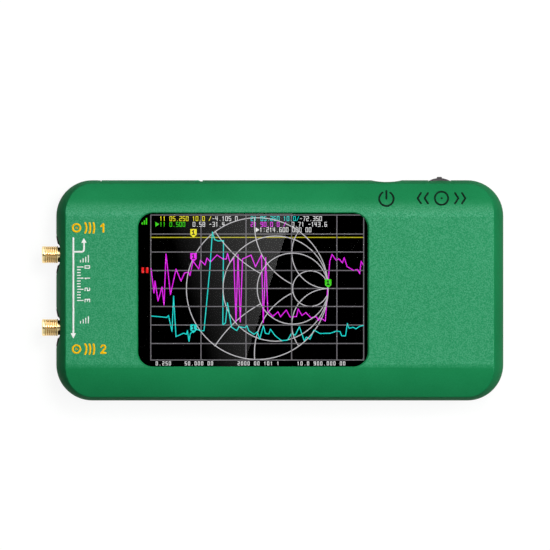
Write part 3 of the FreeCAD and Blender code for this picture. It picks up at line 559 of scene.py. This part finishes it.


# Coaxial jacks: a tree of nodes turns a drawn section about the port's axis, winds the thread into it and
# squares the flange. The grooves' depth is kept as an attribute, from which the gold gets a painted shade in
# the thread's roots.

jackLook = {
    "thread": 3.175 * mm,
    "threadEnd": 5.9 * mm,
    "leadIn": 0.9 * mm,
    "pitch": 25.4 * mm / 36,
    "threadDepth": 0.3 * mm,
    "stepsPerTurn": 10,
    "tipChamfer": 0.3 * mm,
    "relief": 2.75 * mm,
    "reliefEnd": 6.9 * mm,
    "socket": 2.3 * mm,
    "socketDepth": 1.9 * mm,
    "insulator": 2.05 * mm,
    "flangeHalf": 4.0 * mm,
    "flangeStart": 8.6 * mm,
    "flangeEnd": 10.6 * mm,
    "segments": 64,
    "legSide": 1.0 * mm,
    "legStart": 9.6 * mm,
    "legEnd": 14.6 * mm,
    "legSpread": 2.6 * mm,
    "legRows": (-0.1 * mm, -2.7 * mm),
    "flank": (0.4, 0.9),
    "sameRadius": 0.01 * mm,
    "weld": 0.0005 * mm,
    "sharpAngle": 32,
    "crest": rgb(252, 226, 168),
    # painted shade: the darker gold laid in the thread's grooves
    "groove": rgb(196, 146, 80),
    "grooveShadeShare": 0.8,
    "tintShare": 0.3,
    "tintScale": 500.0,
    "tintFrom": (0.25, 1.0),
    "dullness": (0.16, 0.4),
    "dullFrom": (0.1, 1.0),
}


def newTree(name, sockets):
    # a tree with its sockets, its given values, and short ways to add its nodes and its sums
    tree = bpy.data.node_groups.new(name, "GeometryNodeTree")
    for label, kind in {"Geometry": "Geometry", **sockets, "Finish": "Material"}.items():
        tree.interface.new_socket(label, in_out="INPUT", socket_type="NodeSocket" + kind)
    tree.interface.new_socket("Geometry", in_out="OUTPUT", socket_type="NodeSocketGeometry")

    def add(kind, inputs=None, **settings):
        return addNode(tree, kind, inputs, **settings)

    def work(operation, *values):
        return makeMath(tree, operation, *values)

    return tree, add("NodeGroupInput").outputs, add, work


def finishTree(tree, geometry, finish):
    whole = addNode(tree, "GeometryNodeRealizeInstances", {"Geometry": geometry})
    painted = addNode(tree, "GeometryNodeSetMaterial", {"Geometry": whole.outputs[0], "Material": finish})
    addNode(tree, "NodeGroupOutput", {"Geometry": painted.outputs[0]})
    return tree


def applyTree(piece, tree, given):
    modifier = piece.modifiers.new(tree.name, "NODES")
    modifier.node_group = tree
    for item in tree.interface.items_tree:
        if item.in_out == "INPUT" and item.name in given:
            modifier[item.identifier] = given[item.name]
    bakeModifiers(piece)


def makeJackTree():
    look = jackLook
    lengths = ("Pitch", "Thread Depth", "Thread Start", "Thread End", "Thread Radius", "Square From")
    tree, given, add, work = newTree("turnThread", {**dict.fromkeys(lengths, "Float"), "Segments": "Int"})

    # one row of the grid for each point of the section, one column for each turn step
    count = add("GeometryNodeAttributeDomainSize", {
        "Geometry": given["Geometry"]}).outputs["Point Count"]
    columns = work("ADD", given["Segments"], 1)
    grid = add("GeometryNodeMeshGrid", {"Vertices X": work("ADD", count, 1), "Vertices Y": columns})
    index = add("GeometryNodeInputIndex").outputs["Index"]
    row = work("MODULO", work("FLOOR", work("DIVIDE", index, columns)), count)
    turn = work("DIVIDE", work("FLOORED_MODULO", index, columns), given["Segments"])
    angle = work("MULTIPLY", turn, math.tau)
    place = add("GeometryNodeInputPosition").outputs["Position"]
    sample = add("GeometryNodeSampleIndex", {"Geometry": given["Geometry"], "Value": place, "Index": row},
                 data_type="FLOAT_VECTOR", domain="POINT")
    section = add("ShaderNodeSeparateXYZ", {0: sample.outputs[0]}).outputs
    along = section["X"]
    radius = section["Y"]

    # the groove winds once round per pitch, fades at both ends and only cuts the thread's own surface
    phase = work("FRACT", work("SUBTRACT", work("DIVIDE", along, given["Pitch"]), turn))
    ridge = work("ABSOLUTE", work("MULTIPLY_ADD", phase, 2, -1))
    flank = spread(tree, work("SUBTRACT", 1.0, ridge), 0.0, 1.0, *look["flank"])
    fromStart = work("DIVIDE", work("SUBTRACT", along, given["Thread Start"]), given["Pitch"])
    toEnd = work("DIVIDE", work("SUBTRACT", given["Thread End"], along), given["Pitch"])
    apart = work("ABSOLUTE", work("SUBTRACT", radius, given["Thread Radius"]))
    groove = work("MULTIPLY", flank, work("LESS_THAN", apart, look["sameRadius"]))
    for turns in (fromStart, toEnd):
        groove = work("MULTIPLY", groove, spread(tree, turns, 0.0, 1.0, 0.0, 1.0))
    cut = work("SUBTRACT", radius, work("MULTIPLY", groove, given["Thread Depth"]))

    # beyond one radius the section turns square
    cosine = work("COSINE", angle)
    sine = work("SINE", angle)
    widest = work("MAXIMUM", work("ABSOLUTE", cosine), work("ABSOLUTE", sine))
    isSquare = work("GREATER_THAN", radius, given["Square From"])
    stretch = work("SUBTRACT", work("DIVIDE", 1.0, widest), 1.0)
    final = work("MULTIPLY", cut, work("MULTIPLY_ADD", isSquare, stretch, 1.0))
    point = add("ShaderNodeCombineXYZ", {
        "X": along, "Y": work("MULTIPLY", final, cosine), "Z": work("MULTIPLY", final, sine)})
    keep = add("GeometryNodeStoreNamedAttribute", {
        "Geometry": grid.outputs["Mesh"], "Name": "groove", "Value": groove}, domain="POINT")
    move = add("GeometryNodeSetPosition", {"Geometry": keep.outputs[0], "Position": point.outputs[0]})
    weld = add("GeometryNodeMergeByDistance", {"Geometry": move.outputs[0], "Distance": look["weld"]})
    return finishTree(tree, weld.outputs[0], given["Finish"])


def jackAxis(number):
    # where the port's axis leaves the jack's outer end
    low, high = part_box(f"port_{number}_jack")
    return Vector((low.x, (low.y + high.y) / 2, high.z - jackLook["flangeHalf"]))


def jackSection():
    look = jackLook
    cut = look["tipChamfer"]
    thread = look["thread"]
    steps = round((look["threadEnd"] - cut) / look["pitch"] * look["stepsPerTurn"])
    span = look["threadEnd"] - cut
    section = [(0.0, look["socket"]), (0.0, thread - cut)]
    section += [(cut + span * step / steps, thread) for step in range(steps + 1)]
    section += [
        (look["threadEnd"], look["relief"]), (look["reliefEnd"], look["relief"]),
        (look["reliefEnd"], thread),
        (look["flangeStart"], thread), (look["flangeStart"], look["flangeHalf"]),
        (look["flangeEnd"], look["flangeHalf"]), (look["flangeEnd"], look["insulator"]),
        (look["socketDepth"], look["insulator"]), (look["socketDepth"], look["socket"])]
    return section


def makeJackGold():
    # painted shade: the thread's grooves are darker and duller than its crests
    look = jackLook
    metal = {"Metallic": 1.0}
    material, tree, shader, where = newMaterial("jackGold", look["crest"], look["dullness"][0], metal)
    grooveShade = addNode(tree, "ShaderNodeAttribute", attribute_name="groove").outputs["Fac"]
    tint = addNoise(tree, where, look["tintScale"], detail=3.0)
    depth = makeMath(tree, "MULTIPLY_ADD", tint, look["tintShare"],
                     makeMath(tree, "MULTIPLY", grooveShade, look["grooveShadeShare"]))
    varyColour(tree, shader, spread(tree, depth, 0.0, 1.0, *look["tintFrom"]), look["crest"], look["groove"])
    tree.links.new(spread(tree, depth, *look["dullness"], *look["dullFrom"]), shader.inputs["Roughness"])
    return material


def makeJack(tree, number, gold):
    look = jackLook
    section = [(x, radius, 0.0) for x, radius in jackSection()]
    piece = addMesh(f"port_{number}_threaded_jack", section, [], [])
    applyTree(piece, tree, {
        "Pitch": look["pitch"], "Thread Depth": look["threadDepth"], "Thread Start": look["leadIn"],
        "Thread End": look["threadEnd"], "Thread Radius": look["thread"],
        "Square From": (look["thread"] + look["flangeHalf"]) / 2, "Segments": look["segments"],
        "Finish": gold})
    work = bmesh.new()
    work.from_mesh(piece.data)
    length = look["legEnd"] - look["legStart"]
    size = Vector((length, look["legSide"], look["legSide"]))
    for side in (-1, 1):
        for row in look["legRows"]:
            middle = Vector((look["legStart"] + length / 2, side * look["legSpread"], row))
            for vertex in bmesh.ops.create_cube(work, size=1.0)["verts"]:
                vertex.co = middle + vertex.co * size
    bmesh.ops.translate(work, verts=work.verts, vec=jackAxis(number))
    bmesh.ops.recalc_face_normals(work, faces=work.faces)
    work.to_mesh(piece.data)
    work.free()
    smoothShade(piece, look["sharpAngle"])
    finishPiece(piece, "case", [f"port_{number}_jack"])


# A near-black sheet of painted shade lines each scallop, standing in for the shade there: it is thin along
# the jack and has a cheek on either side of it

shadePadLook = {
    "dishChord": 15.4 * mm,
    "dishDepth": 1.5 * mm,
    "inner": 3.58 * mm,
    "outer": 7.6 * mm,
    "taperFrom": 6.6 * mm,
    # distance from the jack's axis across the case, and height over the scallop, in millimetres
    "cheek": ((0.0, 0.03), (3.6, 0.03), (4.1, 0.62), (5.4, 0.6), (7.0, 0.36), (7.7, 0.05)),
    "seat": 0.06 * mm,
    "least": 0.02,
    "rings": 12,
    "segments": 96,
    "sharpAngle": 40,
}


def cheekHeight(across, radius):
    look = shadePadLook
    rise = look["cheek"][-1][1]
    for (y0, low), (y1, high) in zip(look["cheek"], look["cheek"][1:]):
        if y0 * mm <= across < y1 * mm:
            rise = low + (high - low) * (across / mm - y0) / (y1 - y0)
    fade = (look["outer"] - radius) / (look["outer"] - look["taperFrom"])
    return max(look["least"], rise * min(1.0, fade)) * mm


def makeShadePad(number, shadeFinish):
    look = shadePadLook
    axis = jackAxis(number)
    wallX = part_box("front_shell")[0].x
    depth = look["dishDepth"]
    turnRadius = look["dishChord"] ** 2 / (8 * depth) + depth / 2
    span = look["outer"] - look["inner"]
    outwards = [look["inner"] + span * ring / look["rings"] for ring in range(look["rings"] + 1)]
    work = bmesh.new()
    rows = []
    sides = [(radius, True) for radius in outwards] + [(radius, False) for radius in outwards[::-1]]
    for radius, raised in sides:
        row = []
        for step in range(look["segments"]):
            turn = math.tau * step / look["segments"]
            y = radius * math.cos(turn)
            dishX = wallX + depth - turnRadius + math.sqrt(turnRadius ** 2 - y ** 2)
            shift = -cheekHeight(abs(y), radius) if raised else look["seat"]
            row.append(work.verts.new((dishX + shift, axis.y + y, axis.z + radius * math.sin(turn))))
        rows.append(row)
    for row, following in zip(rows, rows[1:] + rows[:1]):
        for step in range(look["segments"]):
            after = (step + 1) % look["segments"]
            work.faces.new((row[step], row[after], following[after], following[step]))
    name = f"port_{number}_pad"
    piece = addObject(name, meshFrom(work, name), shadeFinish)
    smoothShade(piece, look["sharpAngle"])
    finishPiece(piece, "case")


# painted shade: near-black finish for the sheets in the scallops
paintedShadeBlack = makeMoulded("paintedShadeBlack", rgb(2, 2, 2), 0.8, grainScale=2600.0,
                          sockets={"Specular IOR Level": 0.15})
for number in (1, 2):
    makeShadePad(number, paintedShadeBlack)
jackTree = makeJackTree()
jackGold = makeJackGold()
for number in (1, 2):
    makeJack(jackTree, number, jackGold)
print("threaded jacks turned")


# Flat strokes: a tree of nodes turns the edges of a drawing into thin bars with round joints, and lays
# them on the piece below. It draws both the printed marks and the lit lines of the screen.

strokeLook = {
    "height": 0.02 * mm,
    "jointSides": 10,
    "jointShare": 0.95,
    "golden": 0.618,
    "levels": (0.3, 0.6),
    "rayFrom": 40 * mm,
    "inkStep": 0.4 * mm,
    "lineStep": 1.0,
}


def makeStrokeTree():
    look = strokeLook
    tree, given, add, work = newTree("layStrokes", {
        "Stroke Width": "Float", "Stroke Height": "Float", "Step Length": "Float", "Laid On": "Object"})
    width = given["Stroke Width"]
    height = given["Stroke Height"]

    # every edge gets a level of its own, so that no two bars of a crossing share one face
    apart = add("GeometryNodeSplitEdges", {"Mesh": given["Geometry"]})
    curve = add("GeometryNodeMeshToCurve", {"Mesh": apart.outputs[0]})
    order = add("GeometryNodeInputIndex").outputs["Index"]
    level = work("FRACT", work("MULTIPLY", order, look["golden"]))
    keep = add("GeometryNodeStoreNamedAttribute", {
        "Geometry": curve.outputs[0], "Name": "level", "Value": level}, domain="CURVE")
    step = add("GeometryNodeResampleCurve", {
        "Curve": keep.outputs[0], "Length": given["Step Length"]}, mode="LENGTH")
    upright = add("GeometryNodeSetCurveNormal", {"Curve": step.outputs[0]}, mode="Z_UP")
    bar = add("GeometryNodeCurvePrimitiveQuadrilateral", {"Width": width, "Height": height})
    sweep = add("GeometryNodeCurveToMesh", {
        "Curve": upright.outputs[0], "Profile Curve": bar.outputs[0], "Fill Caps": True})
    joint = add("GeometryNodeMeshCylinder", {
        "Vertices": look["jointSides"], "Radius": work("MULTIPLY", width, 0.5),
        "Depth": work("MULTIPLY", height, look["jointShare"])})
    placed = add("GeometryNodeInstanceOnPoints", {
        "Points": given["Geometry"], "Instance": joint.outputs["Mesh"]})
    real = add("GeometryNodeRealizeInstances", {"Geometry": placed.outputs[0]})
    both = add("GeometryNodeJoinGeometry")
    for part in (sweep, real):
        tree.links.new(part.outputs[0], both.inputs[0])

    # each point drops onto the piece below and keeps its own height above it
    place = add("GeometryNodeInputPosition").outputs["Position"]
    axes = add("ShaderNodeSeparateXYZ", {0: place}).outputs
    start = add("ShaderNodeCombineXYZ", {"X": axes["X"], "Y": axes["Y"], "Z": look["rayFrom"]})
    below = add("GeometryNodeObjectInfo", {"Object": given["Laid On"]}, transform_space="ORIGINAL")
    ray = add("GeometryNodeRaycast", {
        "Target Geometry": below.outputs["Geometry"], "Source Position": start.outputs[0],
        "Ray Direction": (0, 0, -1), "Ray Length": look["rayFrom"]})
    named = add("GeometryNodeInputNamedAttribute", {"Name": "level"}).outputs["Attribute"]
    share = work("MULTIPLY_ADD", named, *look["levels"])
    lifted = work("ADD", axes["Z"], work("MULTIPLY", height, share))
    rise = add("ShaderNodeCombineXYZ", {"Z": lifted})
    total = add("ShaderNodeVectorMath", {
        0: ray.outputs["Hit Position"], 1: rise.outputs[0]}, operation="ADD")
    laid = add("GeometryNodeSetPosition", {"Geometry": both.outputs[0], "Position": total.outputs[0]})
    return finishTree(tree, laid.outputs[0], given["Finish"])


strokeTree = makeStrokeTree()


def drawStrokes(name, lines, pixelsWide, below, finish, stepLength=strokeLook["inkStep"], lift=0.0):
    points = []
    edges = []
    for line in lines:
        first = len(points)
        points += [(x, y, lift) for x, y in line]
        edges += [(start, start + 1) for start in range(first, first + len(line) - 1)]
    piece = addMesh(name, points, edges, [])
    applyTree(piece, strokeTree, {
        "Stroke Width": pixelsWide * pixel, "Stroke Height": strokeLook["height"], "Step Length": stepLength,
        "Laid On": below, "Finish": finish})
    finishPiece(piece, "case")


def arcPoints(x, y, radius, startDegrees, endDegrees, step=8.0):
    span = endDegrees - startDegrees
    count = max(2, round(abs(span) / step))
    turns = [math.radians(startDegrees + span * part / count) for part in range(count + 1)]
    return [(x + radius * math.cos(turn), y + radius * math.sin(turn)) for turn in turns]


def arcThrough(first, middle, last, count=24):
    # points along the circle through three points
    (ax, ay), (bx, by), (cx, cy) = first, middle, last
    area = 2 * (ax * (by - cy) + bx * (cy - ay) + cx * (ay - by))
    squares = [x * x + y * y for x, y in (first, middle, last)]
    x = (squares[0] * (by - cy) + squares[1] * (cy - ay) + squares[2] * (ay - by)) / area
    y = (squares[0] * (cx - bx) + squares[1] * (ax - cx) + squares[2] * (bx - ax)) / area
    radius = math.hypot(ax - x, ay - y)
    start = math.atan2(ay - y, ax - x)
    via = (math.atan2(by - y, bx - x) - start) % math.tau
    turn = (math.atan2(cy - y, cx - x) - start) % math.tau
    if via > turn:
        turn -= math.tau
    turns = [start + turn * part / count for part in range(count + 1)]
    return [(x + radius * math.cos(angle), y + radius * math.sin(angle)) for angle in turns]


def drawPlates(name, outlines, low, finish):
    # filled marks on a flat face; each outline runs once round its mark, in photograph pixels
    work = bmesh.new()
    for outline in fromPixels(outlines):
        face = work.faces.new([work.verts.new((x, y, low)) for x, y in outline])
        raised = bmesh.ops.extrude_face_region(work, geom=[face])
        for item in raised["geom"]:
            if isinstance(item, bmesh.types.BMVert):
                item.co.z += strokeLook["height"]
    finishPiece(addObject(name, meshFrom(work, name), finish), "case")


def fromPixels(lines):
    return [[fromPhoto(x, y) for x, y in line] for line in lines]


def moved(line, x, y):
    return [(x + right, y + down) for right, down in line]


shell = bpy.data.objects["front_shell_moulding"]
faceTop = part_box("front_shell")[1].z


# Plain digits on a cell 4 wide and 6 high
digitLines = {
    "0": [[(0, 0), (0, 6), (4, 6), (4, 0), (0, 0)]],
    "1": [[(0.8, 4.8), (2, 6), (2, 0)]],
    "2": [[(0, 6), (4, 6), (4, 3), (0, 3), (0, 0), (4, 0)]],
    "3": [[(0, 6), (4, 6), (4, 0), (0, 0)], [(1, 3), (4, 3)]],
    "4": [[(0, 6), (0, 2.5), (4, 2.5)], [(3, 6), (3, 0)]],
    "5": [[(4, 6), (0, 6), (0, 3), (4, 3), (4, 0), (0, 0)]],
    "6": [[(4, 6), (0, 6), (0, 0), (4, 0), (4, 3), (0, 3)]],
    "7": [[(0, 6), (4, 6), (1.5, 0)]],
    "8": [[(0, 0), (0, 6), (4, 6), (4, 0), (0, 0)], [(0, 3), (4, 3)]],
    "9": [[(4, 3), (0, 3), (0, 6), (4, 6), (4, 0), (0, 0)]],
    ".": [[(1.8, 0), (2.3, 0)]],
    "-": [[(0.4, 3), (3.6, 3)]],
    "/": [[(0, 0), (4, 6)]],
    ":": [[(1.8, 1), (2.3, 1)], [(1.8, 4.4), (2.3, 4.4)]],
    " ": [],
}

# Printed marks, placed by their pixels in the photograph

printLook = {
    "flowX": 73.3,
    "flowTop": 238.0,
    "flowHead": (333.2, 338.5),
    "branchX": 83.9,
    "branchY": 251.8,
    "branchHead": (242.8, 238.0),
    "branchCorner": 2.0,
    "flowWidth": 1.8,
    "headHalf": 2.6,
    "nameLeft": 72.6,
    "nameRows": (227.9, 349.1),
    "nameHeight": 7.7,
    "nameWidth": 1.95,
    "waves": (2.6, 3.6, 4.6),
    "waveHalf": 1.25,
    "digitAfter": 28.5,
    "dot": 0.3,
    "powerCentre": (386.4, 198.7),
    "powerRadius": 7.2,
    "powerGap": 32.0,
    "powerWidth": 1.9,
    "wheelCentre": (441.5, 198.2),
    "wheelRadius": 6.6,
    "chevronPlaces": (13.5, 20.5),
    "chevronSize": (3.4, 5.2),
    "scaleX": (77.5, 83.0),
    "scaleRows": (267.0, 300.5),
    "scaleSteps": 12,
    "scaleDigit": 4.6,
    "scaleMajor": 4,
    "levelPlaces": ((80.5, 262.0), (80.5, 323.0)),
    "levelPitch": 2.6,
    "levelStep": 1.6,
    "tickWidth": 1.0,
    "headGap": 0.001 * mm,
    "white": rgb(250, 253, 250),
    "yellow": rgb(255, 200, 2),
    "dark": rgb(4, 31, 20),
}


def digitOne(x, y, size):
    return [[(x, y + 0.72 * size), (x + 0.3 * size, y + size), (x + 0.3 * size, y)]]


def digitTwo(x, y, size):
    radius = 0.27 * size
    bowl = arcPoints(x + radius, y + size - radius, radius, 165, -38, 14)
    return [bowl + [(x, y), (x + 2.15 * radius, y)]]


def printPortNames():
    look = printLook
    lines = []
    for row, digit in zip(look["nameRows"], (digitOne, digitTwo)):
        x, y = fromPhoto(look["nameLeft"], row)
        half = look["nameHeight"] * pixel / 2
        lines.append(arcPoints(x + half, y, half, 0, 360, 10))
        lines.append([(x + half, y), (x + half + look["dot"] * pixel, y)])
        for wave in look["waves"]:
            span = math.degrees(math.asin(look["waveHalf"] / wave))
            lines.append(arcPoints(x + half, y, wave * half, -span, span, 5))
        lines += digit(x + look["digitAfter"] * pixel, y - half, 2 * half)
    drawStrokes("print_port_numbers", lines, look["nameWidth"], shell, makeInk("inkYellow", look["yellow"]))


def printFlow():
    look = printLook
    flowX = look["flowX"]
    headBase, headTip = look["flowHead"]
    upBase, upTip = look["branchHead"]
    corner = look["branchCorner"]
    x = look["branchX"]
    y = look["branchY"]
    bend = [(x - corner, y), (x - 0.3 * corner, y - 0.3 * corner), (x, y - corner)]
    lines = [[(flowX, look["flowTop"]), (flowX, headBase)], [(flowX, y)] + bend + [(x, upBase)]]
    steps = look["scaleSteps"]
    scaleLow, scaleHigh = look["scaleRows"]
    scaleLeft, scaleRight = look["scaleX"]
    ticks = []
    size = look["scaleDigit"] / 6
    for step in range(steps + 1):
        level = scaleLow + (scaleHigh - scaleLow) * step / steps
        major = step % look["scaleMajor"] == 0
        ticks.append([(scaleLeft, level), (scaleRight if major else (scaleLeft + scaleRight) / 2, level)])
        if major:
            for line in digitLines[str(step // look["scaleMajor"])]:
                ticks.append([(scaleRight + 2 + (6 - py) * size, level + (2 - px) * 0.8 * size)
                              for px, py in line])
    for left, foot in look["levelPlaces"]:
        for bar in range(4):
            middle = left + look["levelPitch"] * bar
            ticks.append([(middle, foot), (middle, foot - look["levelStep"] * (bar + 1))])
    ink = makeInk("inkWhite", look["white"])
    drawStrokes("print_flow_lines", fromPixels(lines), look["flowWidth"], shell, ink)
    drawStrokes("print_level_ticks", fromPixels(ticks), look["tickWidth"], shell, ink)
    half = look["headHalf"]
    heads = [
        [(flowX - half, headBase), (flowX + half, headBase), (flowX, headTip)],
        [(x + half, upBase), (x - half, upBase), (x, upTip)],
    ]
    drawPlates("print_flow_heads", heads, faceTop + look["headGap"], ink)


def printSideMarks():
    look = printLook
    x, y = fromPhoto(*look["powerCentre"])
    gap = look["powerGap"]
    radius = look["powerRadius"] * pixel
    stem = [(x, y), (x, y + 0.55 * radius), (x, y + 1.1 * radius)]
    ink = makeInk("inkDark", look["dark"])
    drawStrokes("print_power_mark", [arcPoints(x, y, radius, 90 + gap, 450 - gap, 7), stem],
                look["powerWidth"], shell, ink)
    centreX, centreY = look["wheelCentre"]
    x, y = fromPhoto(centreX, centreY)
    lines = [arcPoints(x, y, look["wheelRadius"] * pixel, 0, 360, 10)]
    lines.append([(x, y), (x + look["dot"] * pixel, y)])
    deep, tall = look["chevronSize"]
    for side in (-1, 1):
        for place in look["chevronPlaces"]:
            tip = centreX + side * (place + deep)
            back = tip - side * deep
            lines += fromPixels([[(back, centreY - tall), (tip, centreY), (back, centreY + tall)]])
    drawStrokes("print_wheel_mark", lines, look["powerWidth"], shell, ink)


printPortNames()
printFlow()
printSideMarks()
print("printed marks laid")


# The picture on the screen: grid, chart, traces, flags and plain readouts, in photograph pixels

screenLook = {
    "columns": (150.8, 201.0, 246.0, 291.6, 336.9, 363.7),
    "rows": (215.0, 234.0, 252.0, 270.5, 288.5, 306.5, 325.0, 343.5, 360.0),
    "gridWidth": 1.0,
    "chartCentre": (257.3, 288.6),
    "chartRadius": 70.9,
    "chartRings": (52.6, 35.5, 17.8),
    "chartArcs": (
        ((215.0, 231.2), (234.4, 254.5), (260.2, 273.2)),
        ((254.7, 217.9), (266.7, 262.7), (292.6, 284.4)),
        ((298.2, 232.0), (298.9, 274.0), (328.2, 288.6)),
    ),
    "chartWidth": 0.9,
    "traceWidth": 0.95,
    "steadyRow": 237.4,
    "readoutPitch": 3.27,
    "readoutHeight": 4.2,
    "readoutWidth": 0.56,
    "readoutAspect": 0.7,
    "footHeight": 3.3,
    "flagOutline": ((-3.2, -9.2), (3.2, -9.2), (3.2, -3.5), (0.0, -0.5), (-3.2, -3.5)),
    "flagOne": ((-1.1, -6.8), (0.0, -7.7), (0.0, -3.8)),
    "flagFoot": ((-1.2, -3.8), (1.2, -3.8)),
    "flagWidth": 1.05,
    "flags": {"Yellow": (193.5, 238.2), "Magenta": (193.5, 262.3), "Cyan": (193.5, 333.6),
              "Green": (328.2, 288.4)},
    "pointer": ((0.0, -2.5), (3.8, 0.0), (0.0, 2.5)),
    "pointers": (("channel", 155.4, 224.3, "Green"), ("sweep", 255.6, 229.8, "White")),
    # each bar's left pixel column and top row, then the row and the width that a group shares
    "levelBars": ((141.6, 222.4), (143.7, 220.4), (145.8, 218.0)),
    "levelBase": (224.5, 1.3),
    "pauseBars": ((141.6, 267.4), (146.0, 267.4)),
    "pauseBase": (273.0, 2.4),
}

# Both traces start at the grid's left edge; each pair is a pixel column and row
phaseTrace = [
    (151, 268), (154, 293), (155, 281), (158, 301), (162, 287), (164, 305), (166, 254), (170.5, 294.5),
    (176, 269), (181, 281), (184.5, 273), (188.5, 272), (190, 275.5), (193, 261), (198.8, 269),
    (200.5, 260), (205, 265), (207, 258), (210.5, 262), (217, 255), (223, 259), (226.3, 259),
    (227.5, 253.3), (230, 262.5), (233.8, 258), (236, 322), (238, 254.8), (240.3, 322), (242.5, 259),
    (251, 255), (255.5, 266.8), (261.5, 254.8), (263.3, 322.5), (265.7, 257.5), (267.8, 311),
    (272.8, 316.5), (278, 311.8), (280.5, 316.8), (286.3, 310), (290, 317), (296.5, 316.5), (298.2, 309),
    (302, 315.5), (305.8, 312.5), (311, 317.8), (316.3, 316.7), (318.4, 320.4), (320.7, 318),
    (325.3, 321), (327.6, 289), (329.8, 261), (332, 254.5), (336.4, 260.5), (338.6, 258.7),
    (342.5, 262.7), (344.2, 257.5), (347, 266.5), (353.8, 270.5), (357.5, 269.5), (359.7, 273.7),
    (361.2, 261.2), (363.7, 265.7),
]
gainTrace = [
    (151, 316), (167, 317.4), (168.5, 315.5), (172, 331.4), (173.6, 296.2), (176, 336.6), (183.5, 333.2),
    (186.5, 334.2), (187.4, 330.6), (189, 341.4), (190.3, 333.6), (196.3, 329), (200.8, 331),
    (204, 330.6), (209.8, 269.5), (212.4, 232), (214.6, 239.5), (218, 241), (223.5, 240.7), (222.8, 325),
    (225.5, 322.8), (227.5, 302.8), (231.5, 327.2), (236.8, 330.6), (239, 326.7), (245, 327.7),
    (246.8, 325.4), (248.8, 330.7), (254, 334.3), (257.4, 331.7), (259.7, 339), (263.4, 325.7),
    (265.3, 333.2), (268.7, 334), (270.5, 329.2), (275, 335.5), (278.7, 338.5), (281.7, 340.7),
    (287.7, 340), (291.5, 333.2), (295.2, 335.2), (299.4, 326.8), (304.2, 340.7), (306.5, 337),
    (310, 339.2), (314, 330), (320, 333.5), (330.4, 333.2), (336.5, 331), (340.2, 331.7), (341.7, 335.8),
    (345.5, 335.8), (347.4, 323.5), (349.2, 328.3), (353, 327.2), (356, 328.8), (359.7, 326.2),
    (363.7, 325.4),
]

litColours = {
    "Grid": rgb(112, 109, 114), "Chart": rgb(200, 198, 202), "Yellow": rgb(252, 240, 20),
    "Magenta": rgb(242, 26, 250), "Cyan": rgb(14, 224, 216), "Green": rgb(60, 224, 8),
    "White": rgb(240, 240, 240), "Red": rgb(250, 12, 12), "Ochre": rgb(196, 188, 24),
    "Black": rgb(4, 4, 4),
}

readouts = [
    # colour, left pixel, middle row, digits
    ("Yellow", 160, 218.6, "11 05.250 10.0 /"), ("White", 212.5, 218.6, "-4.105 0"),
    ("Green", 160, 224.3, "11 0.500"), ("White", 193, 224.3, "0.58 -31.4"),
    ("Cyan", 251, 218.6, "21 05.250 10.0/"), ("White", 300, 218.6, "-72.350"),
    ("Magenta", 251, 224.3, "21 90.0 0 /"), ("White", 292, 224.3, "0.71 -143.6"),
    ("White", 260, 229.8, "1:214.600 000 00"),
    ("White", 156, 363.4, "0.250"), ("White", 185, 363.4, "50.000 00"),
    ("White", 238, 363.4, "2000 00 101 1"), ("White", 297.5, 363.4, "10.0"),
    ("White", 314, 363.4, "900.000 00"),
]


def digitStrokes(text, left, row):
    onFoot = row > screenLook["rows"][-1]
    scale = screenLook["footHeight" if onFoot else "readoutHeight"] / 6
    lines = []
    for place, letter in enumerate(text):
        x = left + place * screenLook["readoutPitch"]
        for line in digitLines[letter]:
            lines.append([(x + px * scale * screenLook["readoutAspect"], row + (3 - py) * scale)
                          for px, py in line])
    return lines


def drawScreen():
    look = screenLook
    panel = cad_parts["lcd_panel"]
    height = strokeLook["height"]
    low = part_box("lcd_panel")[1].z + 1.5 * height
    finishes = {name: makeLitLine("lit" + name, colour) for name, colour in litColours.items()}

    def lay(name, lines, width, colour, lift=0.0):
        drawStrokes(name, fromPixels(lines), width, panel, finishes[colour], strokeLook["lineStep"], lift)

    def bars(places, foot, width):
        return [[(x, foot), (x + width, foot), (x + width, top), (x, top)] for x, top in places]

    columns = look["columns"]
    rows = look["rows"]
    grid = [[(x, rows[0]), (x, rows[-1])] for x in columns]
    grid += [[(columns[0], y), (columns[-1], y)] for y in rows]
    lay("screen_grid", grid, look["gridWidth"], "Grid")
    x, y = look["chartCentre"]
    radius = look["chartRadius"]
    chart = [arcPoints(x, y, radius, 0, 360, 4)]
    chart += [arcPoints(x + radius - ring, y, ring, 0, 360, 6) for ring in look["chartRings"]]
    for arc in look["chartArcs"]:
        chart.append(arcThrough(*arc))
        chart.append(arcThrough(*[(px, 2 * y - py) for px, py in arc]))
    lay("screen_chart", chart, look["chartWidth"], "Chart")
    steady = [(columns[0], look["steadyRow"]), (columns[-1], look["steadyRow"])]
    lay("screen_steady_trace", [steady], 0.9 * look["traceWidth"], "Ochre")
    lay("screen_gain_trace", [gainTrace], look["traceWidth"], "Cyan")
    lay("screen_phase_trace", [phaseTrace], look["traceWidth"], "Magenta")
    for colour in ("Yellow", "Green", "Cyan", "Magenta", "White"):
        lines = []
        for shade, left, row, text in readouts:
            if shade == colour:
                lines += digitStrokes(text, left, row)
        lay("screen_readout_" + colour.lower(), lines, look["readoutWidth"], colour)
    for colour, place in look["flags"].items():
        outline = moved(look["flagOutline"], *place)
        drawPlates("screen_flag_" + colour.lower(), [outline], low, finishes[colour])
    places = look["flags"].values()
    ones = [moved(look[part], *place) for part in ("flagOne", "flagFoot") for place in places]
    lay("screen_flag_numbers", ones, look["flagWidth"], "Black", lift=2.2 * height)
    for name, x, y, colour in look["pointers"]:
        drawPlates(f"screen_{name}_pointer", [moved(look["pointer"], x, y)], low, finishes[colour])
    drawPlates("screen_level_bars", bars(look["levelBars"], *look["levelBase"]), low, finishes["Green"])
    drawPlates("screen_pause_mark", bars(look["pauseBars"], *look["pauseBase"]), low, finishes["Red"])


drawScreen()
print("screen picture laid")
